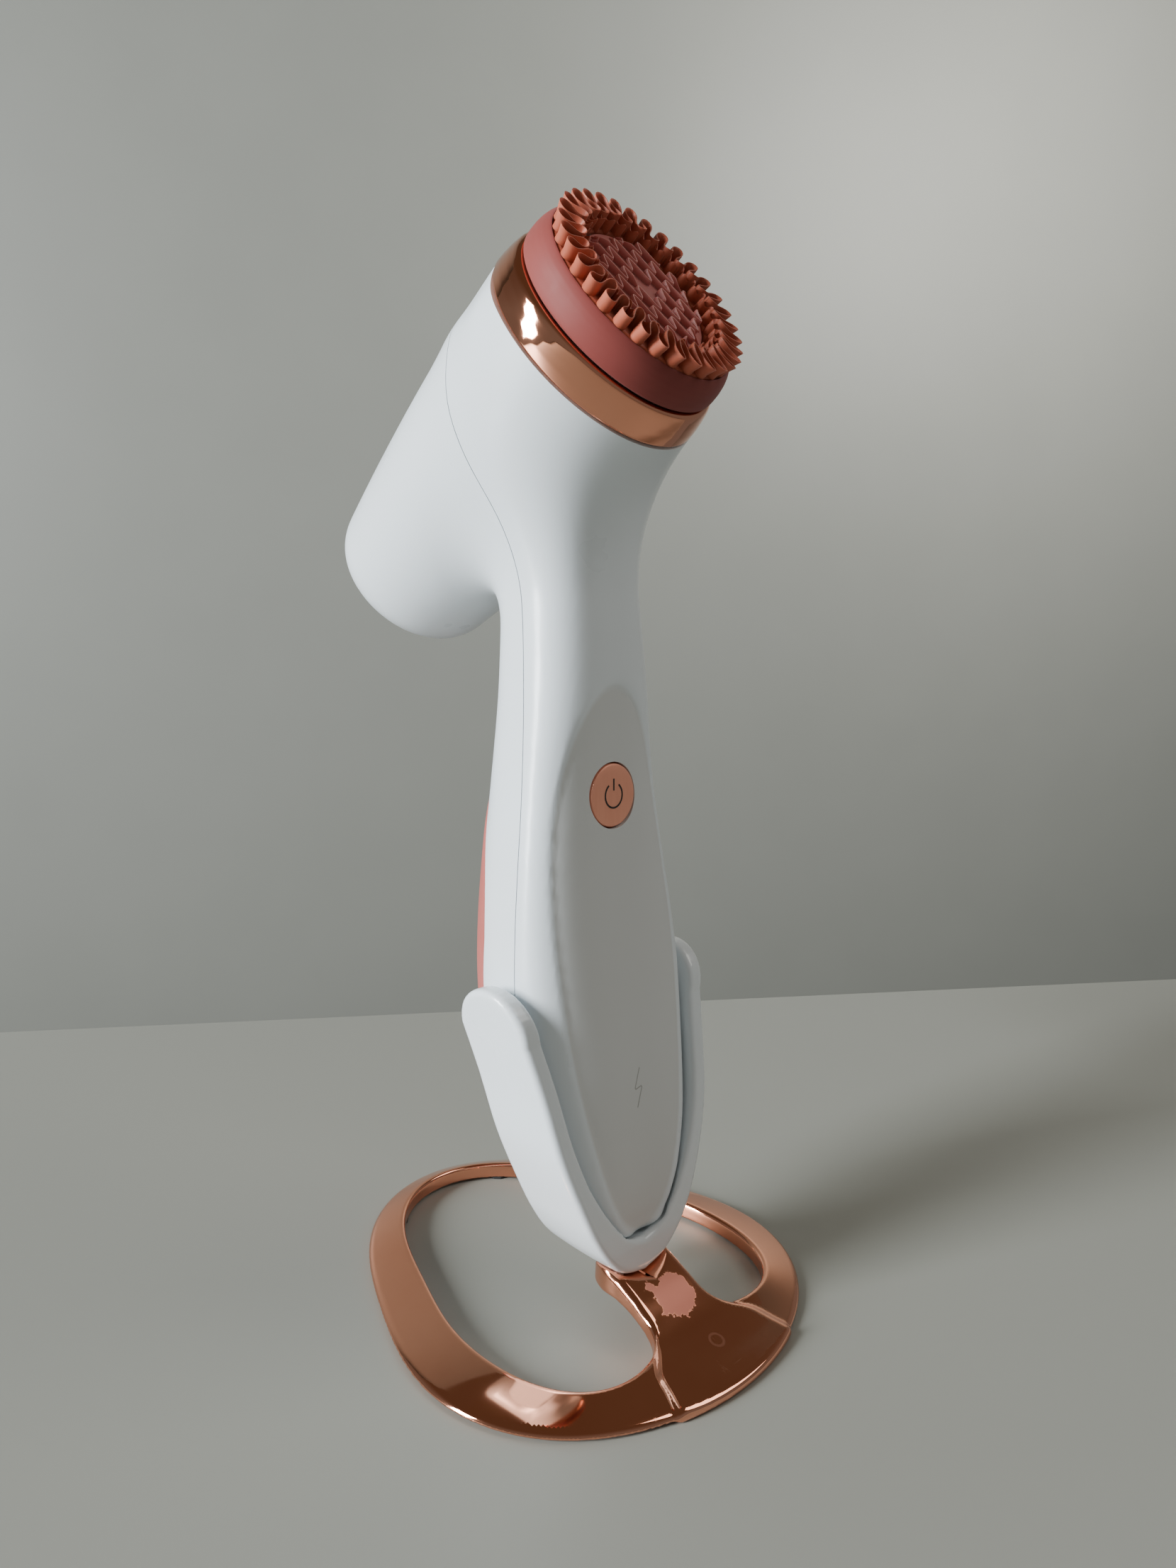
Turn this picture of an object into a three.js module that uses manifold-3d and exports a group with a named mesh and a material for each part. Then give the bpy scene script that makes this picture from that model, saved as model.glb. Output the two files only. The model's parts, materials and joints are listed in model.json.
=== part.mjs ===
// A facial cleansing brush standing in its charging stand, in millimetres, +Z up.
// The origin is under the middle of the object, on the surface that the stand rests on.
// The brush's button faces -Y, and everything is mirrored about x = 0.
import * as THREE from "three";
import { mergeVertices } from "three/addons/utils/BufferGeometryUtils.js";
import Module from "manifold-3d";

const wasm = await Module();
wasm.setup();

// ---------------------------------------------------------------- driving dimensions

const FIT_GAP = 0.3; // between pieces that rest on or in each other
const WALL = 1.8; // handset shell

// Handle stations: [height, half width, front, seam, back], the last three along Y.
const HANDLE = [
  [16.4, 3.2, -27.0, -22.0, -18.0],
  [17.4, 5.8, -27.9, -21.0, -15.2],
  [20.0, 8.6, -28.2, -19.6, -11.6],
  [25.0, 12.2, -28.1, -18.0, -6.8],
  [30.0, 14.6, -27.6, -16.5, -2.8],
  [36.0, 16.8, -26.8, -15.2, 1.4],
  [43.0, 18.4, -25.6, -14.2, 5.4],
  [52.0, 19.7, -23.9, -13.2, 8.3],
  [63.0, 20.4, -21.6, -12.0, 9.8],
  [74.0, 19.7, -19.2, -10.6, 10.6],
  [85.0, 18.3, -16.9, -9.1, 10.9],
  [98.0, 16.4, -14.9, -7.3, 10.8],
  [118.0, 14.3, -14.3, -4.3, 10.4],
  [133.0, 13.6, -12.4, -1.8, 11.4],
  [143.0, 14.9, -12.9, 1.2, 14.0],
  [152.0, 17.4, -14.8, 5.0, 18.0],
  [157.5, 18.9, -16.9, 8.0, 22.0],
];
const FRONT_POWER = 2.7; // superellipse powers of the handle's front and back halves
const FRONT_SQUARER = { by: 3.3, over: 45 }; // the front's lower end is fuller
const BACK_POWER = 2.2;
const FLOOR_GROWTH = 1.7; // how much faster the closed bottom grows than the sides
const FLOOR_BLEND = 25; // height over which that fades out

// Head: an axis through HEAD_CENTRE that rises HEAD_TILT degrees above -Y.
const HEAD_TILT = 38.75;
const HEAD_CENTRE = new THREE.Vector3(0, -5.1, 177.5);
const HEAD_RADIUS = 22.3; // at the metal band
const POD_LENGTH = 68.5; // from the band back to the pod's end
const POD_TAPER = { loss: 6.4, over: 65, power: 1.7 }; // radius lost behind the band
const POD_ROUNDING = 7.5;
const SEAM_OVER_HEAD = [
  // [along Y, height]
  [2.0, 147],
  [6.4, 157],
  [9.8, 166],
  [12.4, 176],
  [16.5, 186],
];

// Button and charge light on the handle's front, and the soft grip on its back.
const BUTTON = { z: 98.3, y: -14.6, radius: 5.9, tilt: 4.2, cap: 2.2 };
const CHARGE_LIGHT_Z = 44.5;
const GRIP = { z: 64, halfWidth: 18.4, up: 38, down: 31, front: -1.9, proud: 0.35, depth: 1.0 };

// Cradle: a U-shaped band round the handle's lower end.
const CRADLE_OUTSIDE = [
  [27.0, 70],
  [26.2, 64.3],
  [24.8, 58.5],
  [23.0, 48.8],
  [20.6, 36.8],
  [17.0, 27.0],
  [14.2, 21.0],
  [10.2, 15.1],
  [5.6, 11.2],
  [0, 9.6],
];
const CRADLE_FLARE = [
  [23.2, 70],
  [22.5, 65.5],
  [20.0, 58.9],
  [18.9, 52.8],
  [17.3, 40.0],
];
const CRADLE_DEPTH = 17.4;
const CRADLE_FOOT_Y = -20.8; // middle of the band at its lowest point
const CRADLE_LEAN = { from: 12, over: 47, back: 10.5, power: 1.6 };
const CRADLE_TIP = { z: 57, up: 8.6 };
const CRADLE_CLEARANCE = 0.4;
const POCKET = { x: 4.8, front: -24.6, back: -15.4, floor: 11.5, lid: 14.3 };
const LIFT_SLOPE = 0.2; // the handset leaves the cradle this far back for each mm up

// Base: a plate with a large opening and a tongue that carries the cradle.
const PLATE = { y: -18.2, bottom: 0.5, rim: 1.9, top: 4.1, edge: 0.7 };
const PLATE_OUTLINE = [43.1, -6.5, 1.2, -3.0, 1.0]; // radius as a cosine series
const OPENING_OUTLINE = [33.2, -9.1, 0.5, -5.4, -0.3, -1.1];
const TONGUE = [
  // [along Y, top, underside, half width]
  [-48.5, 3.9, 0.5, 15.0],
  [-44.5, 4.0, 0.5, 13.6],
  [-41.0, 4.8, 1.2, 10.2],
  [-38.0, 6.3, 2.8, 8.4],
  [-33.5, 8.7, 5.2, 8.0],
  [-29.0, 10.9, 6.6, 7.4],
  [-24.0, 12.6, 6.9, 5.6],
  [-14.0, 12.6, 6.9, 5.0],
  [-12.6, 12.0, 7.4, 4.6],
];
const FOOT = { radius: 3, height: 0.9, recess: 0.7, y: [-45.4, 28.1], x: [21, 15] };

// Drive: a sun gear turns three planets on fixed pegs, and they turn the outer ring.
const GEAR_MODULE = 2 / 3;
const TEETH = { sun: 12, planet: 12, ring: 36 };
const PRESSURE_ANGLE = THREE.MathUtils.degToRad(25);
const BACKLASH = 0.16;
const GEAR_BOTTOM = 8.0;
const GEAR_HEIGHT = 2.6;
const PLANET_COUNT = 3;
const SHAFT_RADIUS = 1.5;

const BOX_MIDDLE_Y = 0.5; // the places above are measured from this far in front of the middle
const ROUND = 30; // segments of a full turn on the larger round pieces
const ROUND_SMALL = 12;

// ---------------------------------------------------------------- materials

const finish = (color, roughness, metalness) =>
  new THREE.MeshStandardMaterial({ color, roughness, metalness });
const WHITE = finish(0xe6e8e8, 0.32, 0);
const ROSE_GOLD = finish(0xd98f76, 0.12, 1);
const ROSE_SATIN = finish(0xe09a80, 0.35, 1);
const PINK = finish(0xc98783, 0.55, 0);
const CORAL = finish(0xb55f4a, 0.6, 0);
const PALE_PINK = finish(0xdda09a, 0.5, 0);
const BLACK = finish(0x1c1c1e, 0.6, 0);
const GREY = finish(0x8b8d90, 0.5, 0);
const STEEL = finish(0xb8babd, 0.3, 1);
const COPPER = finish(0xb7683a, 0.3, 1);
const GREEN = finish(0x1f5a3a, 0.5, 0);
const BLUE = finish(0x2f5f9c, 0.4, 0);

// ---------------------------------------------------------------- solids

// A closed geometry as a manifold-3d solid, turned right way out.
function solid(geometry, matrix = new THREE.Matrix4()) {
  const flat = geometry.index ? geometry.toNonIndexed() : geometry;
  const bare = new THREE.BufferGeometry();
  bare.setAttribute("position", flat.getAttribute("position").clone());
  const merged = mergeVertices(bare.applyMatrix4(matrix), 1e-4);
  const corners = [...merged.index.array];
  const faces = [];
  for (let i = 0; i < corners.length; i += 3) {
    const [a, b, c] = corners.slice(i, i + 3);
    if (a !== b && b !== c && c !== a) faces.push(a, b, c);
  }
  const build = (list) =>
    new wasm.Manifold(
      new wasm.Mesh({
        numProp: 3,
        vertProperties: merged.attributes.position.array,
        triVerts: new Uint32Array(list),
      }),
    );
  const made = build(faces);
  return made.volume() < 0 ? build(faces.reverse()) : made;
}

const join = (first, ...rest) => rest.reduce((sum, next) => sum.add(next), first);
const cut = (first, ...rest) => rest.reduce((sum, next) => sum.subtract(next), first);

function geometryOf(made) {
  const { vertProperties, triVerts } = made.getMesh();
  const geometry = new THREE.BufferGeometry();
  geometry.setAttribute("position", new THREE.BufferAttribute(vertProperties, 3));
  geometry.setIndex(new THREE.BufferAttribute(triVerts, 1));
  geometry.computeVertexNormals();
  return geometry;
}

function piece(name, shape, material) {
  const geometry = shape.isBufferGeometry ? shape : geometryOf(shape);
  const mesh = new THREE.Mesh(geometry, material);
  mesh.name = name;
  return mesh;
}

function group(...children) {
  const made = new THREE.Group();
  made.add(...children);
  return made;
}

// ---------------------------------------------------------------- plain shapes

// [radius, height] points turned about Z, either from axis to axis or closed on themselves.
function turned(profile, segments = ROUND) {
  const points = profile.map(([radius, height]) => new THREE.Vector2(radius, height));
  return new THREE.LatheGeometry(points, segments).rotateX(Math.PI / 2);
}

function rod(radius, from, to, segments = ROUND_SMALL) {
  return turned([[0, from], [radius, from], [radius, to], [0, to]], segments);
}

function tube(inner, outer, from, to, segments = ROUND) {
  const profile = [[inner, from], [outer, from], [outer, to], [inner, to], [inner, from]];
  return turned(profile, segments);
}

function box(x0, x1, y0, y1, z0, z1) {
  const geometry = new THREE.BoxGeometry(x1 - x0, y1 - y0, z1 - z0);
  return geometry.translate((x0 + x1) / 2, (y0 + y1) / 2, (z0 + z1) / 2);
}

// An outline extruded from zero to depth, its three axes laid along the given ones.
function prism(outline, depth, across, up, along, options = {}) {
  const shape = new THREE.Shape(outline.map(([a, b]) => new THREE.Vector2(a, b)));
  const geometry = new THREE.ExtrudeGeometry(shape, { depth, bevelEnabled: false, ...options });
  return geometry.applyMatrix4(new THREE.Matrix4().makeBasis(across, up, along));
}

const X = new THREE.Vector3(1, 0, 0);
const Y = new THREE.Vector3(0, 1, 0);
const Z = new THREE.Vector3(0, 0, 1);

// An outline in YZ, run the full width of the object and centred on x = 0.
function sideways(outline, halfWidth = 40) {
  return solid(prism(outline, 2 * halfWidth, Y, Z, X).translate(-halfWidth, 0, 0));
}

// An outline in XZ, run along Y from one place to another.
function frontways(outline, from, to) {
  return solid(prism(outline, to - from, X, Z, Y.clone().negate()).translate(0, to, 0));
}

// Rings of equal length joined into a closed skin with flat ends.
function loft(rings) {
  const count = rings[0].length;
  const points = rings.flat();
  const faces = [];
  for (let ring = 0; ring + 1 < rings.length; ring += 1) {
    for (let i = 0; i < count; i += 1) {
      const a = ring * count + i;
      const b = ring * count + ((i + 1) % count);
      faces.push(a, b, b + count, a, b + count, a + count);
    }
  }
  const middle = (ring) =>
    ring.reduce((sum, p) => sum.add(p), new THREE.Vector3()).divideScalar(count);
  const last = (rings.length - 1) * count;
  points.push(middle(rings[0]), middle(rings[rings.length - 1]));
  for (let i = 0; i < count; i += 1) {
    const next = (i + 1) % count;
    faces.push(points.length - 2, next, i, points.length - 1, last + i, last + next);
  }
  return new THREE.BufferGeometry().setFromPoints(points).setIndex(faces);
}

// A smooth reading of a table whose first column is where the others apply.
function smoothTable(table) {
  const places = table.map(([place]) => place);
  const values = table.flatMap(([, ...rest]) => rest);
  const curve = new THREE.CubicInterpolant(places, values, table[0].length - 1);
  return (place) => [...curve.evaluate(place)];
}

// ---------------------------------------------------------------- handset body

const handleAt = smoothTable(HANDLE);
const HANDLE_BOTTOM = HANDLE[0][0];
const HANDLE_TOP = HANDLE[HANDLE.length - 1][0];

// The handle's outline at one height, grown by a distance that may be negative.
function handleRing(height, grow) {
  const [halfWidth, front, seam, back] = handleAt(height);
  const fade = Math.max(0, 1 - (height - HANDLE_BOTTOM) / FLOOR_BLEND);
  const z = height - grow * FLOOR_GROWTH * fade;
  const low = Math.max(0, 1 - (height - HANDLE_BOTTOM) / FRONT_SQUARER.over);
  const frontPower = FRONT_POWER + FRONT_SQUARER.by * low * low;
  const ring = [];
  const sides = 26;
  for (let i = 0; i < sides; i += 1) {
    const turn = (i / sides) * 2 * Math.PI;
    const [c, s] = [Math.cos(turn), Math.sin(turn)];
    const power = 2 / (s < 0 ? frontPower : BACK_POWER);
    const reach = s < 0 ? seam - front + grow : back - seam + grow;
    const x = Math.sign(c) * Math.abs(c) ** power * Math.max(halfWidth + grow, 0.6);
    const y = seam + Math.sign(s) * Math.abs(s) ** power * reach;
    ring.push(new THREE.Vector3(x, y, z));
  }
  return ring;
}

function handleSolid(grow) {
  const heights = [HANDLE_BOTTOM, 17.2, 19, 22, 26];
  for (let z = 32; z < HANDLE_TOP; z += 10.4) heights.push(z);
  heights.push(HANDLE_TOP);
  return solid(loft(heights.map((z) => handleRing(z, grow))));
}

// Head frame: local +Z is the head's axis, with zero at the band's rear face.
const HEAD_AXIS = new THREE.Vector3(
  0,
  -Math.cos(THREE.MathUtils.degToRad(HEAD_TILT)),
  Math.sin(THREE.MathUtils.degToRad(HEAD_TILT)),
);
const HEAD_TURN = new THREE.Quaternion().setFromUnitVectors(Z, HEAD_AXIS);
const HEAD_MATRIX = new THREE.Matrix4().compose(HEAD_CENTRE, HEAD_TURN, new THREE.Vector3(1, 1, 1));

function podSolid(grow, front) {
  const end = -POD_LENGTH - grow;
  const { loss, over, power } = POD_TAPER;
  const radius = (u) => HEAD_RADIUS - loss * Math.max(0, -u / over) ** power + grow;
  const profile = [[0, end]];
  const steps = 4;
  const rounding = POD_ROUNDING + grow;
  for (let i = 0; i <= steps; i += 1) {
    const turn = ((i / steps) * Math.PI) / 2;
    const u = end + rounding * (1 - Math.cos(turn));
    profile.push([radius(u) - rounding * (1 - Math.sin(turn)), u]);
  }
  profile.push(...[-45, -28, -12, front].map((u) => [radius(u), u]), [0, front]);
  return solid(turned(profile), HEAD_MATRIX);
}

// Everything behind a plane square to the head's axis.
function behindHeadPlane(u) {
  const reach = 240;
  return solid(box(-reach, reach, -reach, reach, -reach, u), HEAD_MATRIX);
}

const SHELL_FRONT = -0.4; // the shells stop this far behind the band

function bodySolid(grow) {
  const front = SHELL_FRONT + (grow < 0 ? 5 : 0);
  const whole = join(handleSolid(grow), podSolid(grow, front));
  return whole.intersect(behindHeadPlane(front));
}

// The part of space in front of the seam between the two shells.
function frontOfSeam(gap) {
  const line = [[-22, 5]];
  for (let z = HANDLE_BOTTOM + 0.6; z < 140; z += 8) line.push([handleAt(z)[2], z]);
  line.push(...SEAM_OVER_HEAD);
  const moved = line.map(([y, z]) => [y - gap, z]);
  const farTop = moved[moved.length - 1][1] + 40;
  return sideways([...moved, [30, farTop], [-120, farTop], [-120, 5]]);
}

function ovalPrism({ z, halfWidth, up, down }, grow, from, to) {
  const outline = [];
  const points = 28;
  for (let i = 0; i < points; i += 1) {
    const turn = (i / points) * 2 * Math.PI;
    const reach = Math.sin(turn) > 0 ? up : down;
    const x = Math.cos(turn) * (halfWidth + grow);
    outline.push([x, z + Math.sin(turn) * (reach + grow)]);
  }
  return frontways(outline, from, to);
}

const BUTTON_TURN = new THREE.Matrix4()
  .makeTranslation(0, BUTTON.y, BUTTON.z)
  .multiply(new THREE.Matrix4().makeRotationX(Math.PI / 2 - THREE.MathUtils.degToRad(BUTTON.tilt)));
const SCREW_POSTS = [
  { z: 50, split: -2, seat: 4.2 },
  { z: 122, split: 1.5, seat: 7.0 },
];
const POST_RADIUS = 3;
const SCREW_RADIUS = 1.1;
const ALONG_Y = new THREE.Matrix4().makeRotationX(-Math.PI / 2); // local +Z becomes +Y

function alongY(geometry, x, z) {
  return solid(geometry, new THREE.Matrix4().makeTranslation(x, 0, z).multiply(ALONG_Y));
}

function frontShell(outside, inside) {
  const shell = cut(outside, inside).intersect(frontOfSeam(FIT_GAP / 2));
  const posts = SCREW_POSTS.map(({ z, split }) =>
    cut(
      alongY(rod(POST_RADIUS, -30, split), 0, z).intersect(outside),
      alongY(rod(SCREW_RADIUS + FIT_GAP, -9, split + 1), 0, z),
    ),
  );
  const buttonHole = solid(rod(BUTTON.radius + FIT_GAP, -6, 6, ROUND), BUTTON_TURN);
  return cut(join(shell, ...posts), buttonHole);
}

function gripOval(grow) {
  return ovalPrism(GRIP, grow, GRIP.front - grow, 40);
}

function backShell(outside, inside) {
  const shell = cut(cut(outside, inside), frontOfSeam(-FIT_GAP / 2));
  const posts = SCREW_POSTS.map(({ z, split, seat }) =>
    cut(
      alongY(rod(POST_RADIUS, split + FIT_GAP, 12), 0, z).intersect(outside),
      alongY(rod(SCREW_RADIUS + FIT_GAP, split - 1, 14), 0, z),
      alongY(rod(2 + FIT_GAP, seat, 30), 0, z),
    ),
  );
  const gripSeat = cut(gripOval(FIT_GAP), handleSolid(-GRIP.depth - FIT_GAP));
  const holes = SCREW_POSTS.map(({ z, seat }) => alongY(rod(2 + FIT_GAP, seat, 30), 0, z));
  return cut(join(shell, ...posts), gripSeat, ...holes);
}

function backGrip() {
  const skin = cut(handleSolid(GRIP.proud), handleSolid(-GRIP.depth));
  return skin.intersect(gripOval(0));
}

// Screw with its head at the top of its own +Z.
function screw(length, radius = SCREW_RADIUS, headRadius = 2, headHeight = 1.3) {
  return turned(
    [
      [0, 0],
      [radius, 0],
      [radius, length],
      [headRadius, length],
      [headRadius, length + headHeight],
      [0, length + headHeight],
    ],
    ROUND_SMALL,
  );
}

function shellScrew(index) {
  const { z, seat } = SCREW_POSTS[index];
  const length = 10;
  const mesh = piece(`shell_screw_${index + 1}`, screw(length), STEEL);
  mesh.position.set(0, seat + FIT_GAP - length, z);
  mesh.rotation.x = -Math.PI / 2;
  return mesh;
}

// ---------------------------------------------------------------- button, board, battery

const BUTTON_FLANGE = { radius: 7, thickness: 0.5 };

function powerButton() {
  const { radius, cap } = BUTTON;
  const flangeFront = -cap - 0.1;
  const flangeBack = flangeFront - BUTTON_FLANGE.thickness;
  const profile = [
    [0, flangeBack],
    [BUTTON_FLANGE.radius, flangeBack],
    [BUTTON_FLANGE.radius, flangeFront],
    [radius, flangeFront],
    [radius, -0.4],
    [radius - 0.4, 0],
    [0, 0],
  ];
  const mesh = piece("power_button", turned(profile), ROSE_SATIN);
  mesh.applyMatrix4(BUTTON_TURN);
  return mesh;
}

const BOARD = { y: -12.4, z: 79, halfWidth: 9.5, halfLength: 21.5, thickness: 1.2, lean: 7 };
const TACT_SWITCH = { half: 2.2, height: 0.2 };

// Pieces laid on the leaning main board, whose own +Z runs up the board.
function boardGroup() {
  const { halfWidth, halfLength, thickness } = BOARD;
  const face = -thickness / 2 - FIT_GAP;
  const buttonUp = (BUTTON.z - BOARD.z) / Math.cos(THREE.MathUtils.degToRad(BOARD.lean));
  const plate = box(-halfWidth, halfWidth, -thickness / 2, thickness / 2, -halfLength, halfLength);
  const { half, height } = TACT_SWITCH;
  const switchBody = box(-half, half, face - height, face, buttonUp - half, buttonUp + half);
  const chip = box(-3.5, 3.5, face - 1.0, face, -8, -1);
  const made = group(
    piece("main_board", plate, GREEN),
    piece("tact_switch", switchBody, BLACK),
    piece("control_chip", chip, BLACK),
  );
  made.position.set(0, BOARD.y, BOARD.z);
  made.rotation.x = -THREE.MathUtils.degToRad(BOARD.lean);
  return made;
}

const BATTERY = { radius: 6.9, y: -1.2, bottom: 61, top: 108 };

function batteryGroup() {
  const { radius, bottom, top, y } = BATTERY;
  const cell = turned(
    [
      [0, bottom],
      [radius, bottom],
      [radius, top - 1.5],
      [2.5, top - 1.5],
      [2.5, top],
      [0, top],
    ],
    24,
  );
  const cup = (from, to, floor) =>
    cut(
      solid(rod(radius + FIT_GAP + 1, from, to, 24)),
      solid(rod(radius + FIT_GAP, floor[0], floor[1], 24)),
    );
  const made = group(
    piece("battery_cell", cell, BLUE),
    piece("battery_lower_cup", cup(bottom - 1.8, bottom + 6, [bottom - FIT_GAP, top]), GREY),
    piece("battery_upper_cup", cup(top - 7, top + 1.8, [bottom, top + FIT_GAP]), GREY),
  );
  made.position.y = y;
  return made;
}

const RECEIVE_COIL = { y: -20.9, z: 21.4, inner: 2.0, outer: 4.2 };

function receiveGroup() {
  const { inner, outer } = RECEIVE_COIL;
  const made = group(
    piece("receive_coil", tube(inner, outer, 0, 1.1, 24), COPPER),
    piece("receive_ferrite", rod(outer + 0.5, 1.4, 2.2, 24), BLACK),
    piece("handset_magnet", rod(3, 2.6, 5.0, 24), STEEL),
  );
  made.position.set(0, RECEIVE_COIL.y, RECEIVE_COIL.z);
  return made;
}

function chargeLightPipe() {
  const [, front] = handleAt(CHARGE_LIGHT_Z);
  const mesh = piece("charge_light_pipe", rod(1.6, 0, 4.5), WHITE);
  mesh.position.set(0, front + WALL + 2 * FIT_GAP, CHARGE_LIGHT_Z);
  mesh.rotation.x = -Math.PI / 2;
  return mesh;
}

// ---------------------------------------------------------------- motor and shaft

const MOTOR = { radius: 12, from: -44, to: -14 };

function motorGroup() {
  const bore = solid(rod(SHAFT_RADIUS + FIT_GAP, MOTOR.to - 12, MOTOR.to + 1));
  const can = turned([
    [0, MOTOR.from],
    [MOTOR.radius - 1, MOTOR.from],
    [MOTOR.radius, MOTOR.from + 1],
    [MOTOR.radius, MOTOR.to],
    [0, MOTOR.to],
  ]);
  const screwSpots = [-8, 8];
  const atScrew = (x) => new THREE.Matrix4().makeTranslation(x, 0, 0);
  const screwHoles = (from, to) =>
    screwSpots.map((x) => solid(rod(SCREW_RADIUS + FIT_GAP, from, to), atScrew(x)));
  const bracketFrom = MOTOR.to + FIT_GAP;
  const bracketTo = bracketFrom + 2;
  const bracket = solid(tube(5.3, 18.4, bracketFrom, bracketTo));
  const screws = screwSpots.map((x, i) => {
    const length = 6;
    const mesh = piece(`motor_screw_${i + 1}`, screw(length), STEEL);
    mesh.position.set(x, 0, bracketTo + FIT_GAP - length);
    return mesh;
  });
  const dampers = [-42, -22].map((u, i) =>
    piece(`motor_damper_${i + 1}`, tube(MOTOR.radius + FIT_GAP, 14.6, u, u + 4), BLACK),
  );
  return group(
    piece("motor_body", cut(solid(can), bore, ...screwHoles(MOTOR.to - 5, MOTOR.to + 1)), STEEL),
    piece("motor_bracket", cut(bracket, ...screwHoles(bracketFrom - 1, bracketTo + 1)), GREY),
    piece("rear_bearing", tube(SHAFT_RADIUS + FIT_GAP, 5, bracketFrom, bracketTo, 24), STEEL),
    ...screws,
    ...dampers,
  );
}

const MOUNT_RADIUS = 19.4;
const BAND_LENGTH = 6.3;

// The dark cup that closes the handset's front, holds the shaft's bearing and seats the head.
function headMount() {
  const [web, rear, front] = [2.5, -3.5, BAND_LENGTH - 0.2];
  return turned([
    [5.3, rear],
    [7.2, rear],
    [7.2, front - web],
    [MOUNT_RADIUS - 2, front - web],
    [MOUNT_RADIUS - 2, rear],
    [MOUNT_RADIUS, rear],
    [MOUNT_RADIUS, front],
    [5.3, front],
    [5.3, rear],
  ]);
}

function goldBand() {
  return turned([
    [MOUNT_RADIUS + FIT_GAP, 0],
    [22.3, 0],
    [22.5, 0.3],
    [21.7, 5.4],
    [21.2, BAND_LENGTH - 0.1],
    [20.7, BAND_LENGTH],
    [MOUNT_RADIUS + FIT_GAP, BAND_LENGTH],
    [MOUNT_RADIUS + FIT_GAP, 0],
  ]);
}

function frontEndPieces() {
  return [
    piece("gold_band", goldBand(), ROSE_GOLD),
    piece("head_mount", headMount(), BLACK),
    piece("front_bearing", tube(SHAFT_RADIUS + FIT_GAP, 5, -2.5, 1.5, 24), STEEL),
    piece("shaft_seal", tube(SHAFT_RADIUS + FIT_GAP, 5, 2.4, 5.4, 24), BLACK),
    piece("drive_shaft", rod(SHAFT_RADIUS, MOTOR.to - 11, GEAR_BOTTOM + GEAR_HEIGHT - 0.2), STEEL),
  ];
}

// ---------------------------------------------------------------- gears

// Outline of a toothed wheel with involute flanks. grow widens each tooth at the pitch circle.
function gearOutline(teeth, tip, root, grow) {
  const pitch = (teeth * GEAR_MODULE) / 2;
  const base = pitch * Math.cos(PRESSURE_ANGLE);
  const involute = (radius) => {
    const angle = Math.acos(Math.min(1, base / radius));
    return Math.tan(angle) - angle;
  };
  const halfTooth = Math.PI / (2 * teeth) + grow / (2 * pitch);
  const flank = (radius) => halfTooth + involute(pitch) - involute(Math.max(radius, base));
  const foot = Math.max(root, Math.min(base, tip));
  const radii = [root, foot, (foot + tip) / 2, tip].filter((r, i, all) => i === 0 || r > all[i - 1]);
  const outline = [];
  for (let tooth = 0; tooth < teeth; tooth += 1) {
    const middle = (tooth / teeth) * 2 * Math.PI;
    const put = (radius, side) => {
      const turn = middle + side * flank(radius);
      outline.push([radius * Math.cos(turn), radius * Math.sin(turn)]);
    };
    radii.forEach((radius) => put(radius, -1));
    [...radii].reverse().forEach((radius) => put(radius, 1));
  }
  return outline;
}

const PITCH = (teeth) => (teeth * GEAR_MODULE) / 2;
const ADDENDUM = 0.8 * GEAR_MODULE;
const DEDENDUM = 1.05 * GEAR_MODULE;

function wheel(teeth, bore) {
  const pitch = PITCH(teeth);
  const outline = gearOutline(teeth, pitch + ADDENDUM, pitch - DEDENDUM, -BACKLASH / 2);
  const blank = solid(prism(outline, GEAR_HEIGHT, X, Y, Z).translate(0, 0, GEAR_BOTTOM));
  return cut(blank, solid(rod(bore, GEAR_BOTTOM - 1, GEAR_BOTTOM + GEAR_HEIGHT + 1)));
}

const RING_GEAR_RADIUS = 14.6;

function ringGear() {
  const pitch = PITCH(TEETH.ring);
  const outline = gearOutline(TEETH.ring, pitch + DEDENDUM, pitch - ADDENDUM, BACKLASH / 2);
  const space = solid(prism(outline, GEAR_HEIGHT + 3, X, Y, Z).translate(0, 0, GEAR_BOTTOM - 1));
  return cut(solid(rod(RING_GEAR_RADIUS, GEAR_BOTTOM, FACE_BOTTOM - FIT_GAP, ROUND)), space);
}

const FACE_BOTTOM = 11.9; // rear face of the silicone disc and ring
const DISC_RADIUS = 12.1;
const RING_INNER = 12.9;
const RING_OUTER = 18.0;
const COLLAR_INNER = RING_OUTER + FIT_GAP;
const PEG_CIRCLE = PITCH(TEETH.sun) + PITCH(TEETH.planet);
const pegTurn = (index) => (index / PLANET_COUNT) * 2 * Math.PI + Math.PI / 2;

function headBase() {
  const plate = solid(tube(SHAFT_RADIUS + 0.9, RING_OUTER, BAND_LENGTH + 0.4, GEAR_BOTTOM - FIT_GAP));
  const pegs = [...Array(PLANET_COUNT).keys()].map((index) => {
    const spot = new THREE.Matrix4().makeTranslation(
      PEG_CIRCLE * Math.cos(pegTurn(index)),
      PEG_CIRCLE * Math.sin(pegTurn(index)),
      0,
    );
    return solid(rod(1.2, BAND_LENGTH + 0.8, GEAR_BOTTOM + GEAR_HEIGHT + 0.2), spot);
  });
  return join(plate, ...pegs);
}

function headCollar() {
  const rear = BAND_LENGTH + 0.3;
  return turned([
    [COLLAR_INNER, rear],
    [20.9, rear],
    [21.0, 7.4],
    [20.7, 9.4],
    [20.1, 11.2],
    [19.3, 12.8],
    [18.7, 13.6],
    [COLLAR_INNER, 13.9],
    [COLLAR_INNER, rear],
  ]);
}

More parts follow.
